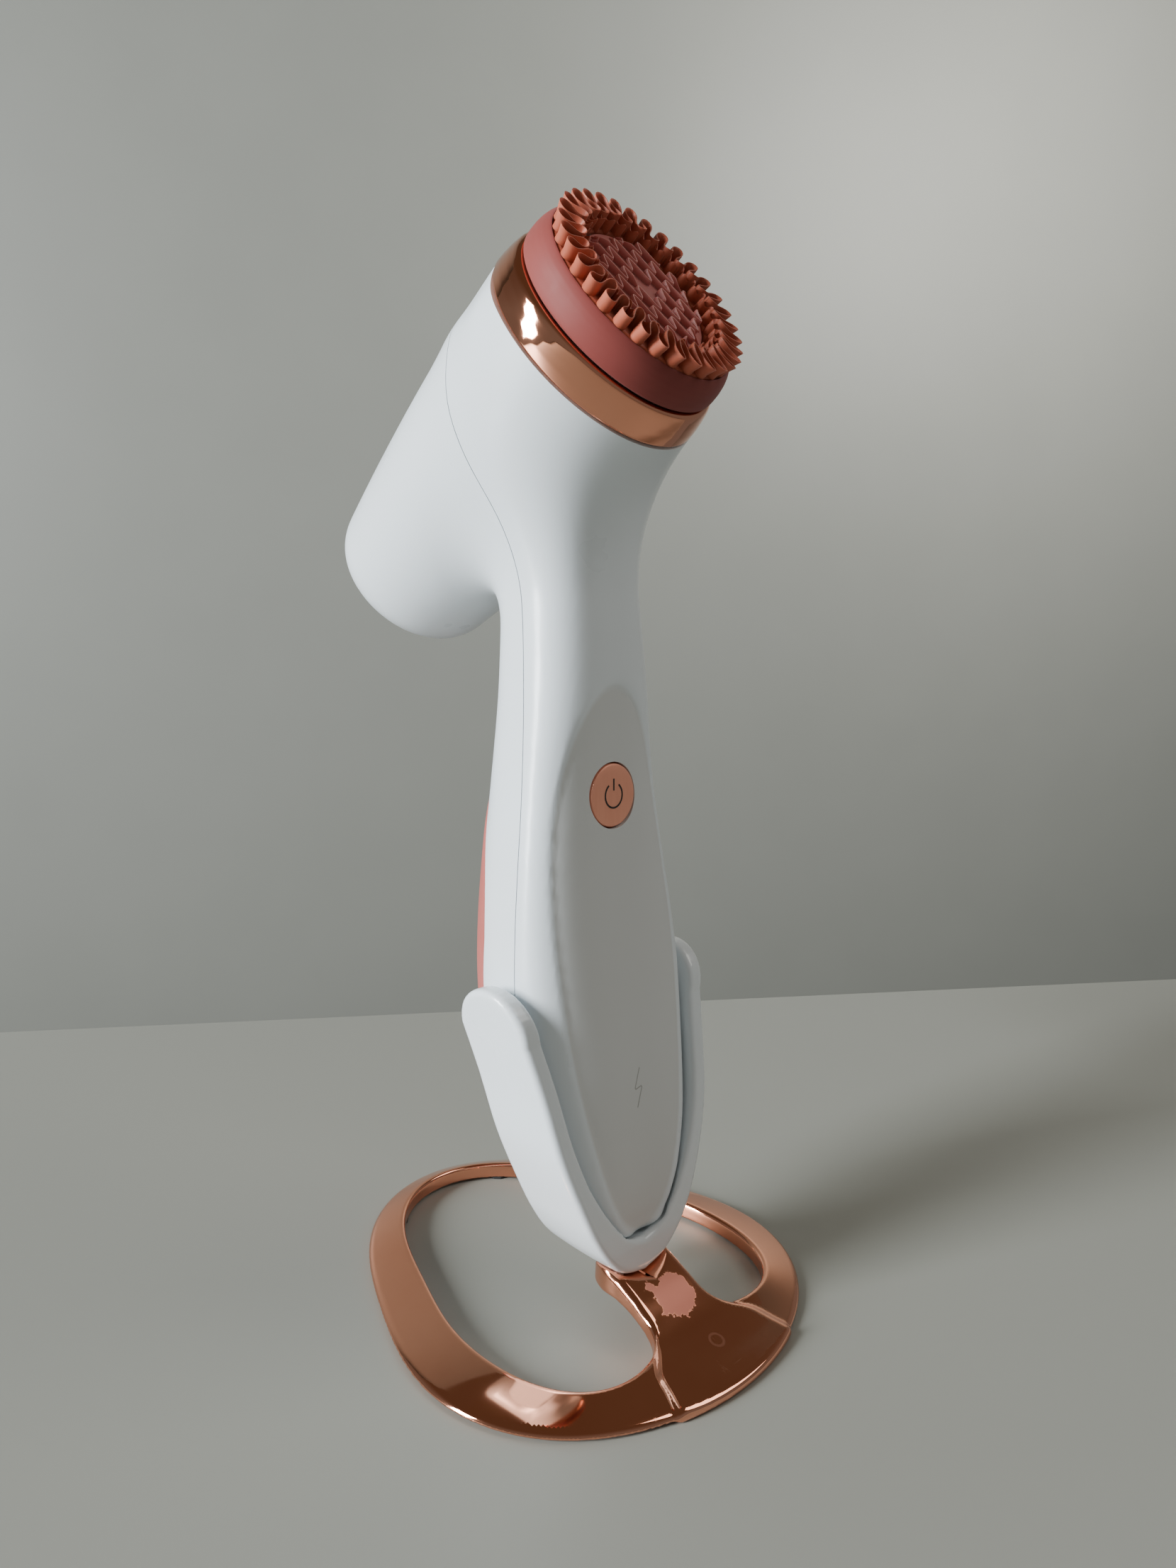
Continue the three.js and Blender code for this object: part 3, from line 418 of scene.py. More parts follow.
def turned_object(name, profile, place=head_point, segments=160):
    """A profile of [radius, along] turned about an axis. It starts and ends on the axis, or closes."""
    points, rings, faces = [], [], []
    closed = profile[0][0] > 0
    for radius, along in profile:
        if radius <= 0:
            rings.append([len(points)] * segments)
            points.append(place(along, 0.0, 0.0))
            continue
        rings.append(list(range(len(points), len(points) + segments)))
        points += [place(along, radius, 2 * math.pi * i / segments) for i in range(segments)]
    pairs = list(zip(rings, rings[1:])) + ([(rings[-1], rings[0])] if closed else [])
    for first, second in pairs:
        for i in range(segments):
            j = (i + 1) % segments
            corners = [first[i], first[j], second[j], second[i]]
            faces.append([c for k, c in enumerate(corners) if c not in corners[:k]])
    made = make_object(name, np.array(points), faces)
    tidy_normals(made)
    return made


def tidy_normals(made, sharp=40):
    b = bmesh.new()
    b.from_mesh(made.data)
    bmesh.ops.remove_doubles(b, verts=b.verts, dist=1e-7)
    bmesh.ops.recalc_face_normals(b, faces=b.faces)
    b.to_mesh(made.data)
    b.free()
    made.data.shade_smooth()
    made.data.set_sharp_from_angle(angle=math.radians(sharp))


def rounded(profile, radius, steps=4):
    """A closed profile with each corner replaced by a short arc."""
    out = []
    points = [np.array(p, float) for p in profile]
    for i, corner in enumerate(points):
        before, after = points[i - 1], points[(i + 1) % len(points)]
        to_before, to_after = before - corner, after - corner
        reach = min(radius, np.linalg.norm(to_before) * 0.45, np.linalg.norm(to_after) * 0.45)
        a = corner + to_before / np.linalg.norm(to_before) * reach
        b = corner + to_after / np.linalg.norm(to_after) * reach
        for t in np.linspace(0, 1, steps + 1):
            out.append(((1 - t) ** 2 * a + 2 * t * (1 - t) * corner + t * t * b).tolist())
    return out


# ------------------------------------------------------------------ booleans

def combine(target, tool, how):
    """Applies one exact boolean to the target's mesh."""
    modifier = target.modifiers.new("combine", "BOOLEAN")
    modifier.operation = how
    modifier.solver = "EXACT"
    modifier.object = tool
    bpy.context.view_layer.update()
    done = bpy.data.meshes.new_from_object(
        target.evaluated_get(bpy.context.evaluated_depsgraph_get()))
    target.modifiers.clear()
    target.data = done


def drop(*objects):
    for made in objects:
        bpy.data.objects.remove(made)


def prism_object(name, outline, axis, low, high):
    """A closed outline run along X (outline in YZ) or along Y (outline in XZ)."""
    outline = np.array(outline, float)
    count = len(outline)
    ends = []
    for reach in (low, high):
        along = np.full(count, reach)
        columns = [along, outline[:, 0], outline[:, 1]]
        ends.append(np.column_stack(columns if axis == "x" else [outline[:, 0], along, outline[:, 1]]))
    faces = [[i, (i + 1) % count, count + (i + 1) % count, count + i] for i in range(count)]
    faces += [list(range(count))[::-1], list(range(count, 2 * count))]
    made = make_object(name, np.concatenate(ends), faces)
    tidy_normals(made)
    return made


def seam_outline(gap, forward):
    """A side view of everything in front of the seam between the shells, or behind it."""
    heights = np.arange(14.0, 141.0, 4.0)
    line = np.column_stack([smooth_table(HANDLE, heights)[2], heights])
    line = smooth_outline(np.concatenate([line, SEAM_OVER_HEAD]), 4)
    line[:, 0] += -gap if forward else gap
    far = -90 if forward else 90
    return np.concatenate([line, [[line[-1][0], 230], [far, 230], [far, 10], [line[0][0], 10]]])


# ------------------------------------------------------------------ handset shells

BODY_LOW, BODY_HIGH = (-25, -34, 12), (25, 58, 208)
SKIN_STEP, HOLLOW_STEP = 0.9, 1.8


def make_shells():
    """Both shells: one hollow skin with its openings, split along the seam."""
    def skin(p):
        return soft_max(dished_body_field(p), head_place(p)[0] - SHELL_FRONT - 2.5, 0.5)

    def hollow(p):
        return soft_max(body_field(p) + WALL, head_place(p)[0] - 6, 1.0)

    outer = implicit_object("outer_skin", skin, BODY_LOW, BODY_HIGH, SKIN_STEP, own_normals=False)
    inner = implicit_object("inner_skin", hollow, BODY_LOW, BODY_HIGH, HOLLOW_STEP, own_normals=False)
    combine(outer, inner, "DIFFERENCE")
    mouth = turned_object("head_mouth", [[0, SHELL_FRONT], [40, SHELL_FRONT], [40, 20], [0, 20]])
    combine(outer, mouth, "DIFFERENCE")
    drop(inner, mouth)
    hole = turned_object("button_hole", [[0, -5], [BUTTON_RADIUS + 0.3, -5],
                                         [BUTTON_RADIUS + 0.3, 5], [0, 5]], button_point, 96)
    combine(outer, hole, "DIFFERENCE")
    shells = []
    for name, forward in (("front_shell_skin", True), ("back_shell_skin", False)):
        shell = outer.copy()
        shell.data = outer.data.copy()
        shell.name = name
        bpy.context.scene.collection.objects.link(shell)
        side = prism_object("seam_side", seam_outline(SEAM_GAP / 2, forward), "x", -40, 40)
        combine(shell, side, "INTERSECT")
        drop(side)
        keep_largest(shell)
        shell.data.shade_smooth()
        shell.data.set_sharp_from_angle(angle=math.radians(32))
        shells.append(shell)
    drop(outer, hole)
    return shells


def keep_largest(made):
    """Deletes every loose part of a mesh but the one with the most faces."""
    b = bmesh.new()
    b.from_mesh(made.data)
    b.faces.ensure_lookup_table()
    seen, groups = set(), []
    for face in b.faces:
        if face.index in seen:
            continue
        stack, members = [face], []
        seen.add(face.index)
        while stack:
            f = stack.pop()
            members.append(f)
            for edge in f.edges:
                for other in edge.link_faces:
                    if other.index not in seen:
                        seen.add(other.index)
                        stack.append(other)
        groups.append(members)
    groups.sort(key=len)
    small = [f for members in groups[:-1] for f in members]
    bmesh.ops.delete(b, geom=small, context="FACES")
    b.to_mesh(made.data)
    b.free()


def button_point(along, radius, turn):
    """A place in the button's own frame, on the tilted face of the panel."""
    out = np.array([0, -math.cos(BUTTON_TILT), math.sin(BUTTON_TILT)])
    up = np.array([0, math.sin(BUTTON_TILT), math.cos(BUTTON_TILT)])
    side = np.array([1.0, 0, 0])
    return BUTTON + along * out + radius * (math.cos(turn) * side + math.sin(turn) * up)


def make_button():
    profile = [[0, -2.7], [7.0, -2.7], [7.0, -2.3], [BUTTON_RADIUS, -2.3], [BUTTON_RADIUS, -0.55],
               [BUTTON_RADIUS - 0.12, -0.2], [BUTTON_RADIUS - 0.45, -0.05], [4.0, 0.0], [0, 0.02]]
    return turned_object("button_cap", profile, button_point, 128)


def flat_stroke(name, path, width, place, thickness=0.06):
    """A thin raised line along a path of [across, up] points, laid by place(across, up, height)."""
    path = np.array(path, float)
    ahead = np.gradient(path, axis=0)
    side = np.column_stack([-ahead[:, 1], ahead[:, 0]])
    side /= np.linalg.norm(side, axis=1)[:, None]
    left, right = path + side * width / 2, path - side * width / 2
    points = []
    for row, height in ((left, thickness), (right, thickness), (right, -0.3), (left, -0.3)):
        points += [place(a, b, height) for a, b in row]
    count = len(path)
    faces = []
    for i in range(count - 1):
        for k in range(4):
            a, b = k * count + i, ((k + 1) % 4) * count + i
            faces.append([a, b, b + 1, a + 1])
    faces += [[k * count for k in range(4)], [k * count + count - 1 for k in (3, 2, 1, 0)]]
    made = make_object(name, np.array(points), faces)
    tidy_normals(made)
    return made


def on_button(across, up, height):
    return button_point(height, math.hypot(across, up), math.atan2(up, across))


def make_power_mark():
    """A plain power sign: a ring open at the top and a short bar."""
    turns = np.radians(np.linspace(125, 415, 60))
    ring = flat_stroke("power_ring", np.column_stack([np.cos(turns), np.sin(turns)]) * 2.3, 0.34, on_button)
    bar = flat_stroke("power_bar", [[0, 3.1], [0, 2.4], [0, 1.6], [0, 0.9]], 0.34, on_button)
    return [ring, bar]


def on_panel(across, up, height):
    """A place on the front panel at x = across, z = up, and height above the skin."""
    spot = np.array([[across, -40.0, up]])
    low, high = -40.0, -12.0
    for _ in range(40):
        middle = (low + high) / 2
        spot[0, 1] = middle
        if dished_body_field(spot)[0] > 0:
            low = middle
        else:
            high = middle
    slope = slope_of(dished_body_field, spot)[0]
    return spot[0] + height * slope / np.linalg.norm(slope)


def make_charge_mark():
    bolt = [[0.7, 48.3], [-0.9, 44.9], [-0.75, 44.6], [0.8, 44.9], [0.95, 44.6], [-0.6, 41.2]]
    path = []
    for (a0, b0), (a1, b1) in zip(bolt, bolt[1:]):
        path += [[a0 + (a1 - a0) * t, b0 + (b1 - b0) * t] for t in np.linspace(0, 1, 5, endpoint=False)]
    path.append(bolt[-1])
    return flat_stroke("charge_mark", path, 0.22, on_panel, 0.02)


# ------------------------------------------------------------------ head

def make_band():
    """The rose-gold band round the front of the head."""
    profile = [[19.7, 0.0], [22.3, 0.0], [22.5, 0.3], [22.35, 2.0], [22.05, 3.8], [21.7, 5.2],
               [21.4, 5.9], [20.9, BAND_LENGTH], [19.7, BAND_LENGTH]]
    return turned_object("head_band", rounded(profile, 0.35))


def make_collar():
    """The pink silicone collar, which narrows towards the brush face."""
    inner = RING_OUTER + 0.3
    profile = [[inner, 6.6], [20.5, 6.6], [20.95, 7.0], [21.0, 8.0], [20.9, 9.4], [20.65, 10.7],
               [20.3, 11.7], [19.9, 12.4], [19.6, 12.8], [inner, 13.0]]
    return turned_object("collar_skin", rounded(profile, 0.3))


def wall_solid(path, tops, bottom, thickness, lean, points, faces):
    """Adds an upright ribbon along a path of [x, y] in the head's face. lean splays its top outward."""
    path = np.array(path, float)
    ahead = np.gradient(path, axis=0)
    side = np.column_stack([-ahead[:, 1], ahead[:, 0]])
    side /= np.maximum(np.linalg.norm(side, axis=1), 1e-9)[:, None]
    out = path / np.maximum(np.linalg.norm(path, axis=1), 1e-9)[:, None]
    first = len(points)
    rows = []
    for share, half in ((0, thickness * 0.62), (0.45, thickness * 0.5), (0.85, thickness * 0.4),
                        (1.0, thickness * 0.22)):
        height = bottom + (tops - bottom) * share
        middle = path + out * (lean * share * share)[:, None]
        rows.append((middle + side * half, height))
        rows.append((middle - side * half, height))
    order = [0, 2, 4, 6, 7, 5, 3, 1]
    for index in order:
        spots, height = rows[index]
        for (x, y), h in zip(spots, height):
            points.append(HEAD_CENTRE + h * HEAD_AXIS + x * np.array([1.0, 0, 0]) + y * HEAD_UP)
    count, sides = len(path), len(order)
    for i in range(count - 1):
        for k in range(sides):
            a, b = first + k * count + i, first + ((k + 1) % sides) * count + i
            faces.append([a, b, b + 1, a + 1])
    faces.append([first + k * count for k in range(sides)])
    faces.append([first + k * count + count - 1 for k in reversed(range(sides))])


def hooked_wave(waves, pitch, height, lean, steps=18):
    """A run of waves that lean over into hooks, as distance along and height across."""
    phase = np.linspace(0, 2 * math.pi * waves, round(waves * steps) + 1)
    across = height * np.cos(phase)
    return np.column_stack([pitch * phase / (2 * math.pi) + lean * across, across]), phase


def meander(loops, radius, swing, steps=22):
    """A closed run of rounded loops round a circle: its heading swings evenly to each side."""
    share = np.arange(loops * steps + 1) / steps
    heading = swing * np.sin(2 * math.pi * share)
    along = np.concatenate([[0], np.cumsum((np.cos(heading[1:]) + np.cos(heading[:-1])) / 2)])
    across = np.concatenate([[0], np.cumsum((np.sin(heading[1:]) + np.sin(heading[:-1])) / 2)])
    scale = 2 * math.pi * radius / along[-1]
    across = across * scale
    across -= (across.max() + across.min()) / 2
    turn = along * scale / radius
    return np.column_stack([np.cos(turn), np.sin(turn)]) * (radius + across)[:, None], share, across


def make_petals():
    """The ring's looped silicone walls, splayed outward at the top of the outer loops."""
    points, faces = [], []
    path, share, across = meander(LOOPS, 16.9, LOOP_SWING)
    outer = np.clip(0.5 + across / (across.max() - across.min()), 0, 1)
    crest = 0.5 + 0.5 * np.cos(4 * math.pi * share + 0.9)
    every_other = 0.5 + 0.5 * np.cos(math.pi * share)
    tops = FACE_BOTTOM + 1.0 + 3.3 * (0.78 - 0.06 * outer + 0.12 * crest + 0.1 * every_other)
    wall_solid(path, tops, FACE_BOTTOM + 0.6, 0.38, 1.0 * outer**2, points, faces)
    path, share, across = meander(INNER_LOOPS, 14.5, 1.35)
    tops = FACE_BOTTOM + 3.2 + 0.4 * np.cos(4 * math.pi * share)
    wall_solid(path, tops, FACE_BOTTOM + 0.8, 0.36, np.zeros(len(path)), points, faces)
    made = make_object("petals", np.array(points), faces)
    tidy_normals(made, 60)
    return made


def make_ring_base():
    """The flat silicone ring that the petals stand on."""
    profile = [[RING_INNER, FACE_BOTTOM], [RING_OUTER, FACE_BOTTOM], [RING_OUTER, 12.8], [18.6, 13.1],
               [16.2, 12.9], [13.9, 13.0], [RING_INNER, 12.7]]
    return turned_object("outer_ring_base", rounded(profile, 0.3))


def make_disc():
    """The inner disc under the ridges."""
    profile = [[0, FACE_BOTTOM], [DISC_RADIUS, FACE_BOTTOM], [DISC_RADIUS, 12.7], [12.8, 12.95],
               [12.3, 13.05], [5.0, 13.1], [0, 13.1]]
    return turned_object("disc_base", profile)


def make_ridges():
    """Hooked ridges in slanted rows across the disc, with a bare spot in the middle."""
    points, faces = [], []
    spin = math.radians(-16.5)
    along = np.array([math.cos(spin), math.sin(spin)])
    across = np.array([-along[1], along[0]])
    wave, phase = hooked_wave(8, RIDGE_PITCH, 1.2, -1.0)
    wave[:, 0] -= 4 * RIDGE_PITCH
    for row in range(-4, 5):
        line = wave + [(row % 2) * RIDGE_PITCH / 2, row * RIDGE_PITCH * 0.866]
        path = line[:, :1] * along + line[:, 1:] * across
        reach = np.hypot(*path.T)
        keep = (reach < DISC_RADIUS - 0.35) & (reach > 1.9)
        cuts = np.flatnonzero(np.diff(keep.astype(int))) + 1
        for part in np.split(np.arange(len(path)), cuts):
            if keep[part[0]] and len(part) > 5:
                share = np.minimum(np.arange(len(part)), np.arange(len(part))[::-1]) / 3
                tops = 13.2 + 1.25 * np.minimum(1, share) * (0.85 + 0.15 * np.cos(phase[part]))
                wall_solid(path[part], tops, 12.6, 0.46, np.zeros(len(part)), points, faces)
    made = make_object("disc_ridges", np.array(points), faces)
    tidy_normals(made, 60)
    return made


# ------------------------------------------------------------------ materials

class Shader:
    """A Principled material and short ways to add procedural nodes to it."""

    def __init__(self, name):
        self.material = bpy.data.materials.new(name)
        self.material.use_nodes = True
        self.nodes = self.material.node_tree.nodes
        self.links = self.material.node_tree.links
        self.main = self.nodes["Principled BSDF"]
        self.place = self.nodes.new("ShaderNodeTexCoord").outputs["Object"]

    def set(self, **values):
        for key, value in values.items():
            self.main.inputs[key.replace("_", " ")].default_value = value
        return self

    def noise(self, scale, detail=3.0, roughness=0.5, stretch=(1, 1, 1), distortion=0.0):
        mapping = self.nodes.new("ShaderNodeMapping")
        mapping.inputs["Scale"].default_value = stretch
        self.links.new(self.place, mapping.inputs["Vector"])
        noise = self.nodes.new("ShaderNodeTexNoise")
        noise.inputs["Scale"].default_value = scale
        noise.inputs["Detail"].default_value = detail
        noise.inputs["Roughness"].default_value = roughness
        noise.inputs["Distortion"].default_value = distortion
        self.links.new(mapping.outputs["Vector"], noise.inputs["Vector"])
        return noise.outputs["Fac"]

    def ramp(self, fac, low, high, from_value, to_value):
        node = self.nodes.new("ShaderNodeMapRange")
        limits = {"From Min": low, "From Max": high, "To Min": from_value, "To Max": to_value}
        for key, value in limits.items():
            node.inputs[key].default_value = value
        self.links.new(fac, node.inputs["Value"])
        return node.outputs["Result"]

    def math(self, how, a, b):
        node = self.nodes.new("ShaderNodeMath")
        node.operation = how
        for socket, value in zip(node.inputs, (a, b)):
            if isinstance(value, (int, float)):
                socket.default_value = value
            else:
                self.links.new(value, socket)
        return node.outputs[0]

    def mix(self, fac, first, second):
        node = self.nodes.new("ShaderNodeMix")
        node.data_type = "RGBA"
        self.links.new(fac, node.inputs["Factor"])
        for socket, value in ((node.inputs["A"], first), (node.inputs["B"], second)):
            if isinstance(value, tuple):
                socket.default_value = (*value, 1)
            else:
                self.links.new(value, socket)
        return node.outputs["Result"]

    def link(self, value, socket):
        self.links.new(value, self.main.inputs[socket])
        return self

    def bump(self, height, strength, distance=0.0002):
        node = self.nodes.new("ShaderNodeBump")
        node.inputs["Strength"].default_value = strength
        node.inputs["Distance"].default_value = distance
        self.links.new(height, node.inputs["Height"])
        self.links.new(node.outputs["Normal"], self.main.inputs["Normal"])
        return self

    def height_over_face(self, low, high):
        """Zero to one between two heights over the band's rear face, along the head's axis."""
        node = self.nodes.new("ShaderNodeVectorMath")
        node.operation = "DOT_PRODUCT"
        self.links.new(self.place, node.inputs[0])
        node.inputs[1].default_value = tuple(HEAD_AXIS)
        datum = (HEAD_CENTRE + DATUM) @ HEAD_AXIS
        return self.ramp(node.outputs["Value"], (datum + low) * MM, (datum + high) * MM, 0, 1)

    def near(self, centre, radius):
        """One at a point given in the drawing frame, falling to zero at the radius."""
        node = self.nodes.new("ShaderNodeVectorMath")
        node.operation = "DISTANCE"
        self.links.new(self.place, node.inputs[0])
        node.inputs[1].default_value = tuple((np.array(centre) + DATUM) * MM)
        return self.ramp(node.outputs["Value"], radius * MM, 0, 0, 1)


SHELL_TINT, SHELL_SHADE = (0.77, 0.83, 0.87), (0.75, 0.80, 0.83)
# The sunk oval's colours are painted shade: a greyer white where the front face turns away from the window.
PANEL_PAINTED_SHADE, PANEL_PAINTED_SHADE_DARK = (0.66, 0.68, 0.68), (0.63, 0.645, 0.64)
SHELL_ROUGHNESS = 0.3


def white_plastic(name, tint, roughness):
    """Moulded white plastic with faint clouds and a few greyer scuffs."""
    s = Shader(name).set(IOR=1.5, Coat_Weight=0.25, Coat_Roughness=0.12)
    clouds = s.noise(14, 3)
    warm = tuple(c * k for c, k in zip(tint, (0.985, 0.975, 0.96)))
    colour = s.mix(s.ramp(clouds, 0.35, 0.7, 0, 1), tint, warm)
    scuffs = s.noise(170, 4, 0.6, (1, 1, 0.16), 0.6)
    marks = s.ramp(scuffs, 0.735, 0.76, 0, 0.45)
    s.link(s.mix(marks, colour, tuple(c * 0.72 for c in tint)), "Base Color")
    s.link(s.ramp(s.noise(60, 4), 0.3, 0.7, roughness - 0.04, roughness + 0.06), "Roughness")
    s.bump(s.noise(2600, 2), 0.05, 0.00003)
    return s.material


def panel_and_shell_white():
    """The front shell: glossy outside, duller in the sunk oval, where painted shade makes the white greyer.
    """
    s = Shader("front_shell_white").set(IOR=1.5, Coat_Weight=0.2, Coat_Roughness=0.14)
    split = s.nodes.new("ShaderNodeSeparateXYZ")
    s.links.new(s.place, split.inputs[0])
    x, y, z = split.outputs
    z_mm = s.math("MULTIPLY", s.math("SUBTRACT", z, PANEL_Z * MM), 1 / MM)
    x_share = s.math("MULTIPLY", x, 1 / (PANEL_HALF_WIDTH * MM))
    up = s.math("DIVIDE", s.math("MAXIMUM", z_mm, 0.0), PANEL_UP)
    down = s.math("DIVIDE", s.math("MINIMUM", z_mm, 0.0), PANEL_DOWN)
    z_share = s.math("ADD", up, down)
    size = s.math("ADD", s.math("MULTIPLY", x_share, x_share), s.math("MULTIPLY", z_share, z_share))
    inside = s.ramp(size, 1.02, 0.95, 0, 1)
    front = s.ramp(y, -0.010, -0.013, 0, 1)
    panel = s.math("MULTIPLY", inside, front)
    clouds = s.noise(14, 3)
    shell = s.mix(s.ramp(clouds, 0.35, 0.7, 0, 1), SHELL_TINT, SHELL_SHADE)
    # Painted shade: the sunk oval gets a greyer white than the rest of the shell.
    grey = s.mix(s.ramp(clouds, 0.35, 0.7, 0, 1), PANEL_PAINTED_SHADE, PANEL_PAINTED_SHADE_DARK)
    scuffs = s.noise(170, 4, 0.6, (1, 1, 0.16), 0.6)
    marks = s.ramp(scuffs, 0.735, 0.76, 0, 0.45)
    s.link(s.mix(marks, s.mix(panel, shell, grey), (0.55, 0.56, 0.55)), "Base Color")
    rough = s.ramp(s.noise(60, 4), 0.3, 0.7, SHELL_ROUGHNESS - 0.04, SHELL_ROUGHNESS + 0.06)
    s.link(s.math("ADD", rough, s.math("MULTIPLY", panel, 0.1)), "Roughness")
    s.bump(s.noise(2600, 2), 0.05, 0.00003)
    return s.material


PATCH_CENTRE, PATCH_RADIUS = (1.2, -35.4, 8.0), 7.0  # where the tongue's plating has gone dull
SMUDGE_CENTRE, SMUDGE_RADIUS = (1.0, -45.8, 3.8), 1.9


def rose_gold_chrome(name, worn):
    """Polished rose-gold plating with fine scratches, and a dull patch where it is worn."""
    s = Shader(name).set(Metallic=1.0)
    tint = (0.93, 0.42, 0.27)
    clouds = s.noise(40, 4)
    colour = s.mix(s.ramp(clouds, 0.35, 0.7, 0, 1), tint, (0.88, 0.37, 0.23))
    fine = s.noise(420, 5, 0.7, (1, 0.08, 1))
    cross = s.noise(500, 5, 0.7, (0.1, 1, 1), 0.4)
    scratches = s.math("MAXIMUM", s.ramp(fine, 0.66, 0.72, 0, 1), s.ramp(cross, 0.68, 0.74, 0, 1))
    rough = s.math("ADD", s.ramp(s.noise(90, 4), 0.3, 0.75, 0.035, 0.09), s.math("MULTIPLY", scratches, 0.12))
    if worn:
        patchy = s.near(PATCH_CENTRE, PATCH_RADIUS)
        ragged = s.math("ADD", patchy, s.ramp(s.noise(260, 5, 0.65), 0.3, 0.7, -0.28, 0.28))
        patch = s.ramp(ragged, 0.34, 0.40, 0, 1)
        smudge = s.near(SMUDGE_CENTRE, SMUDGE_RADIUS)
        ring = s.math("MULTIPLY", s.ramp(smudge, 0.10, 0.22, 0, 1), s.ramp(smudge, 0.5, 0.36, 0, 1))
        worn_mask = s.math("MAXIMUM", patch, s.math("MULTIPLY", ring, 0.5))
        colour = s.mix(worn_mask, colour, (0.50, 0.20, 0.15))
        rough = s.math("ADD", rough, s.math("MULTIPLY", worn_mask, 0.38))
    s.link(colour, "Base Color")
    s.link(rough, "Roughness")
    s.bump(s.math("ADD", scratches, s.noise(120, 3)), 0.04, 0.00005)
    return s.material


def satin_rose_gold():
    """The button's brushed rose-gold lacquer."""
    s = Shader("button_rose_gold").set(Metallic=0.4)
    rings = s.noise(900, 3, 0.6, (1, 1, 0.05))
    s.link(s.mix(s.ramp(rings, 0.3, 0.7, 0, 1), (1.0, 0.44, 0.30), (0.95, 0.40, 0.27)), "Base Color")
    s.link(s.ramp(s.noise(300, 4), 0.3, 0.7, 0.3, 0.42), "Roughness")
    s.bump(rings, 0.08, 0.00003)
    return s.material


def silicone(name, tint, dark, roughness, glow=0.12, tips=None):
    """Soft silicone. tips gives two heights over the band and the paler colour reached between them."""
    s = Shader(name).set(IOR=1.35, Subsurface_Weight=glow, Subsurface_Scale=0.0015, Sheen_Weight=0.05,
                         Sheen_Roughness=0.5)
    colour = s.mix(s.ramp(s.noise(60, 4), 0.35, 0.68, 0, 1), tint, dark)
    if tips:
        low, high, pale = tips
        colour = s.mix(s.height_over_face(low, high), colour, pale)
    s.link(colour, "Base Color")
    s.link(s.ramp(s.noise(140, 4), 0.3, 0.7, roughness - 0.06, roughness + 0.08), "Roughness")
    s.bump(s.noise(1500, 3), 0.08, 0.00004)
    return s.material


def plain_finish(name, tint, roughness, metallic=0.0):
    """A plain material with slightly uneven colour and shine, for inner pieces and small marks."""
    s = Shader(name).set(Metallic=metallic)
    dark = tuple(c * 0.8 for c in tint)
    s.link(s.mix(s.ramp(s.noise(80, 4), 0.35, 0.7, 0, 1), tint, dark), "Base Color")
    s.link(s.ramp(s.noise(150, 4), 0.3, 0.7, roughness * 0.85, min(1, roughness * 1.15)), "Roughness")
    s.bump(s.noise(900, 3), 0.1, 0.00004)
    return s.material


def circuit_board():
    """Green solder mask over a fine pattern of tracks."""
    s = Shader("circuit_board_mask").set(IOR=1.5)
    tracks = s.nodes.new("ShaderNodeTexBrick")
    tracks.inputs["Scale"].default_value = 320
    s.links.new(s.place, tracks.inputs["Vector"])
    s.link(s.mix(tracks.outputs["Fac"], (0.03, 0.16, 0.07), (0.02, 0.09, 0.04)), "Base Color")
    s.link(s.ramp(s.noise(200, 3), 0.3, 0.7, 0.25, 0.4), "Roughness")
    return s.material


def wear(made, material):
    made.data.materials.clear()
    made.data.materials.append(material)


# ------------------------------------------------------------------ dressing

def dress(made, body, slot, material, *nodes):
    wear(made, material)
    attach(made, body)
    if nodes:
        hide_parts(*nodes)


# Each grid's lowest corner, highest corner and step.
GRIP_GRID = (-22, -4, 31), (22, 14, 104), 0.7
CRADLE_GRID = (-29, -34, 7), (29, 2, 68), 0.6
BASE_GRID = (-46, -57, -0.8), (46, 39, 14.6), 0.5

WHITE = white_plastic("shell_white", SHELL_TINT, SHELL_ROUGHNESS)
CRADLE_WHITE = white_plastic("cradle_white_gloss", (0.79, 0.85, 0.89), 0.22)
GOLD_WORN = rose_gold_chrome("rose_gold_plate", True)
GOLD = rose_gold_chrome("rose_gold_band", False)
BUTTON_GOLD = satin_rose_gold()
PINK = silicone("pink_silicone", (0.235, 0.05, 0.043), (0.215, 0.045, 0.038), 0.6, 0.03)
GRIP_PINK = silicone("grip_silicone_skin", (0.42, 0.115, 0.095), (0.385, 0.10, 0.083), 0.5, 0.03)
CORAL = silicone("coral_petals", (0.42, 0.10, 0.052), (0.37, 0.082, 0.042), 0.5, 0.1,
                 (13.2, 17.0, (0.50, 0.14, 0.085)))
PALE = silicone("pale_disc", (0.50, 0.155, 0.14), (0.45, 0.135, 0.12), 0.4, 0.2,
                (13.5, 14.4, (0.68, 0.29, 0.26)))
DARK = plain_finish("dark_mark", (0.03, 0.025, 0.022), 0.5)
FAINT = plain_finish("faint_mark", (0.42, 0.43, 0.42), 0.5)

front_shell, back_shell = make_shells()
dress(front_shell, "handset", "handset_shell", panel_and_shell_white(), "front_shell")
dress(back_shell, "handset", "handset_shell", WHITE, "back_shell")

grip = implicit_object("grip_skin", grip_field, *GRIP_GRID)
dress(grip, "handset", "grip_silicone", GRIP_PINK, "back_grip")

cradle = implicit_object("cradle_skin", cradle_field, *CRADLE_GRID)
dress(cradle, "stand", "cradle_white", CRADLE_WHITE, "cradle_shell")

base = implicit_object("base_skin", base_field, *BASE_GRID)
dress(base, "stand", "rose_gold_chrome", GOLD_WORN, "base_plate")

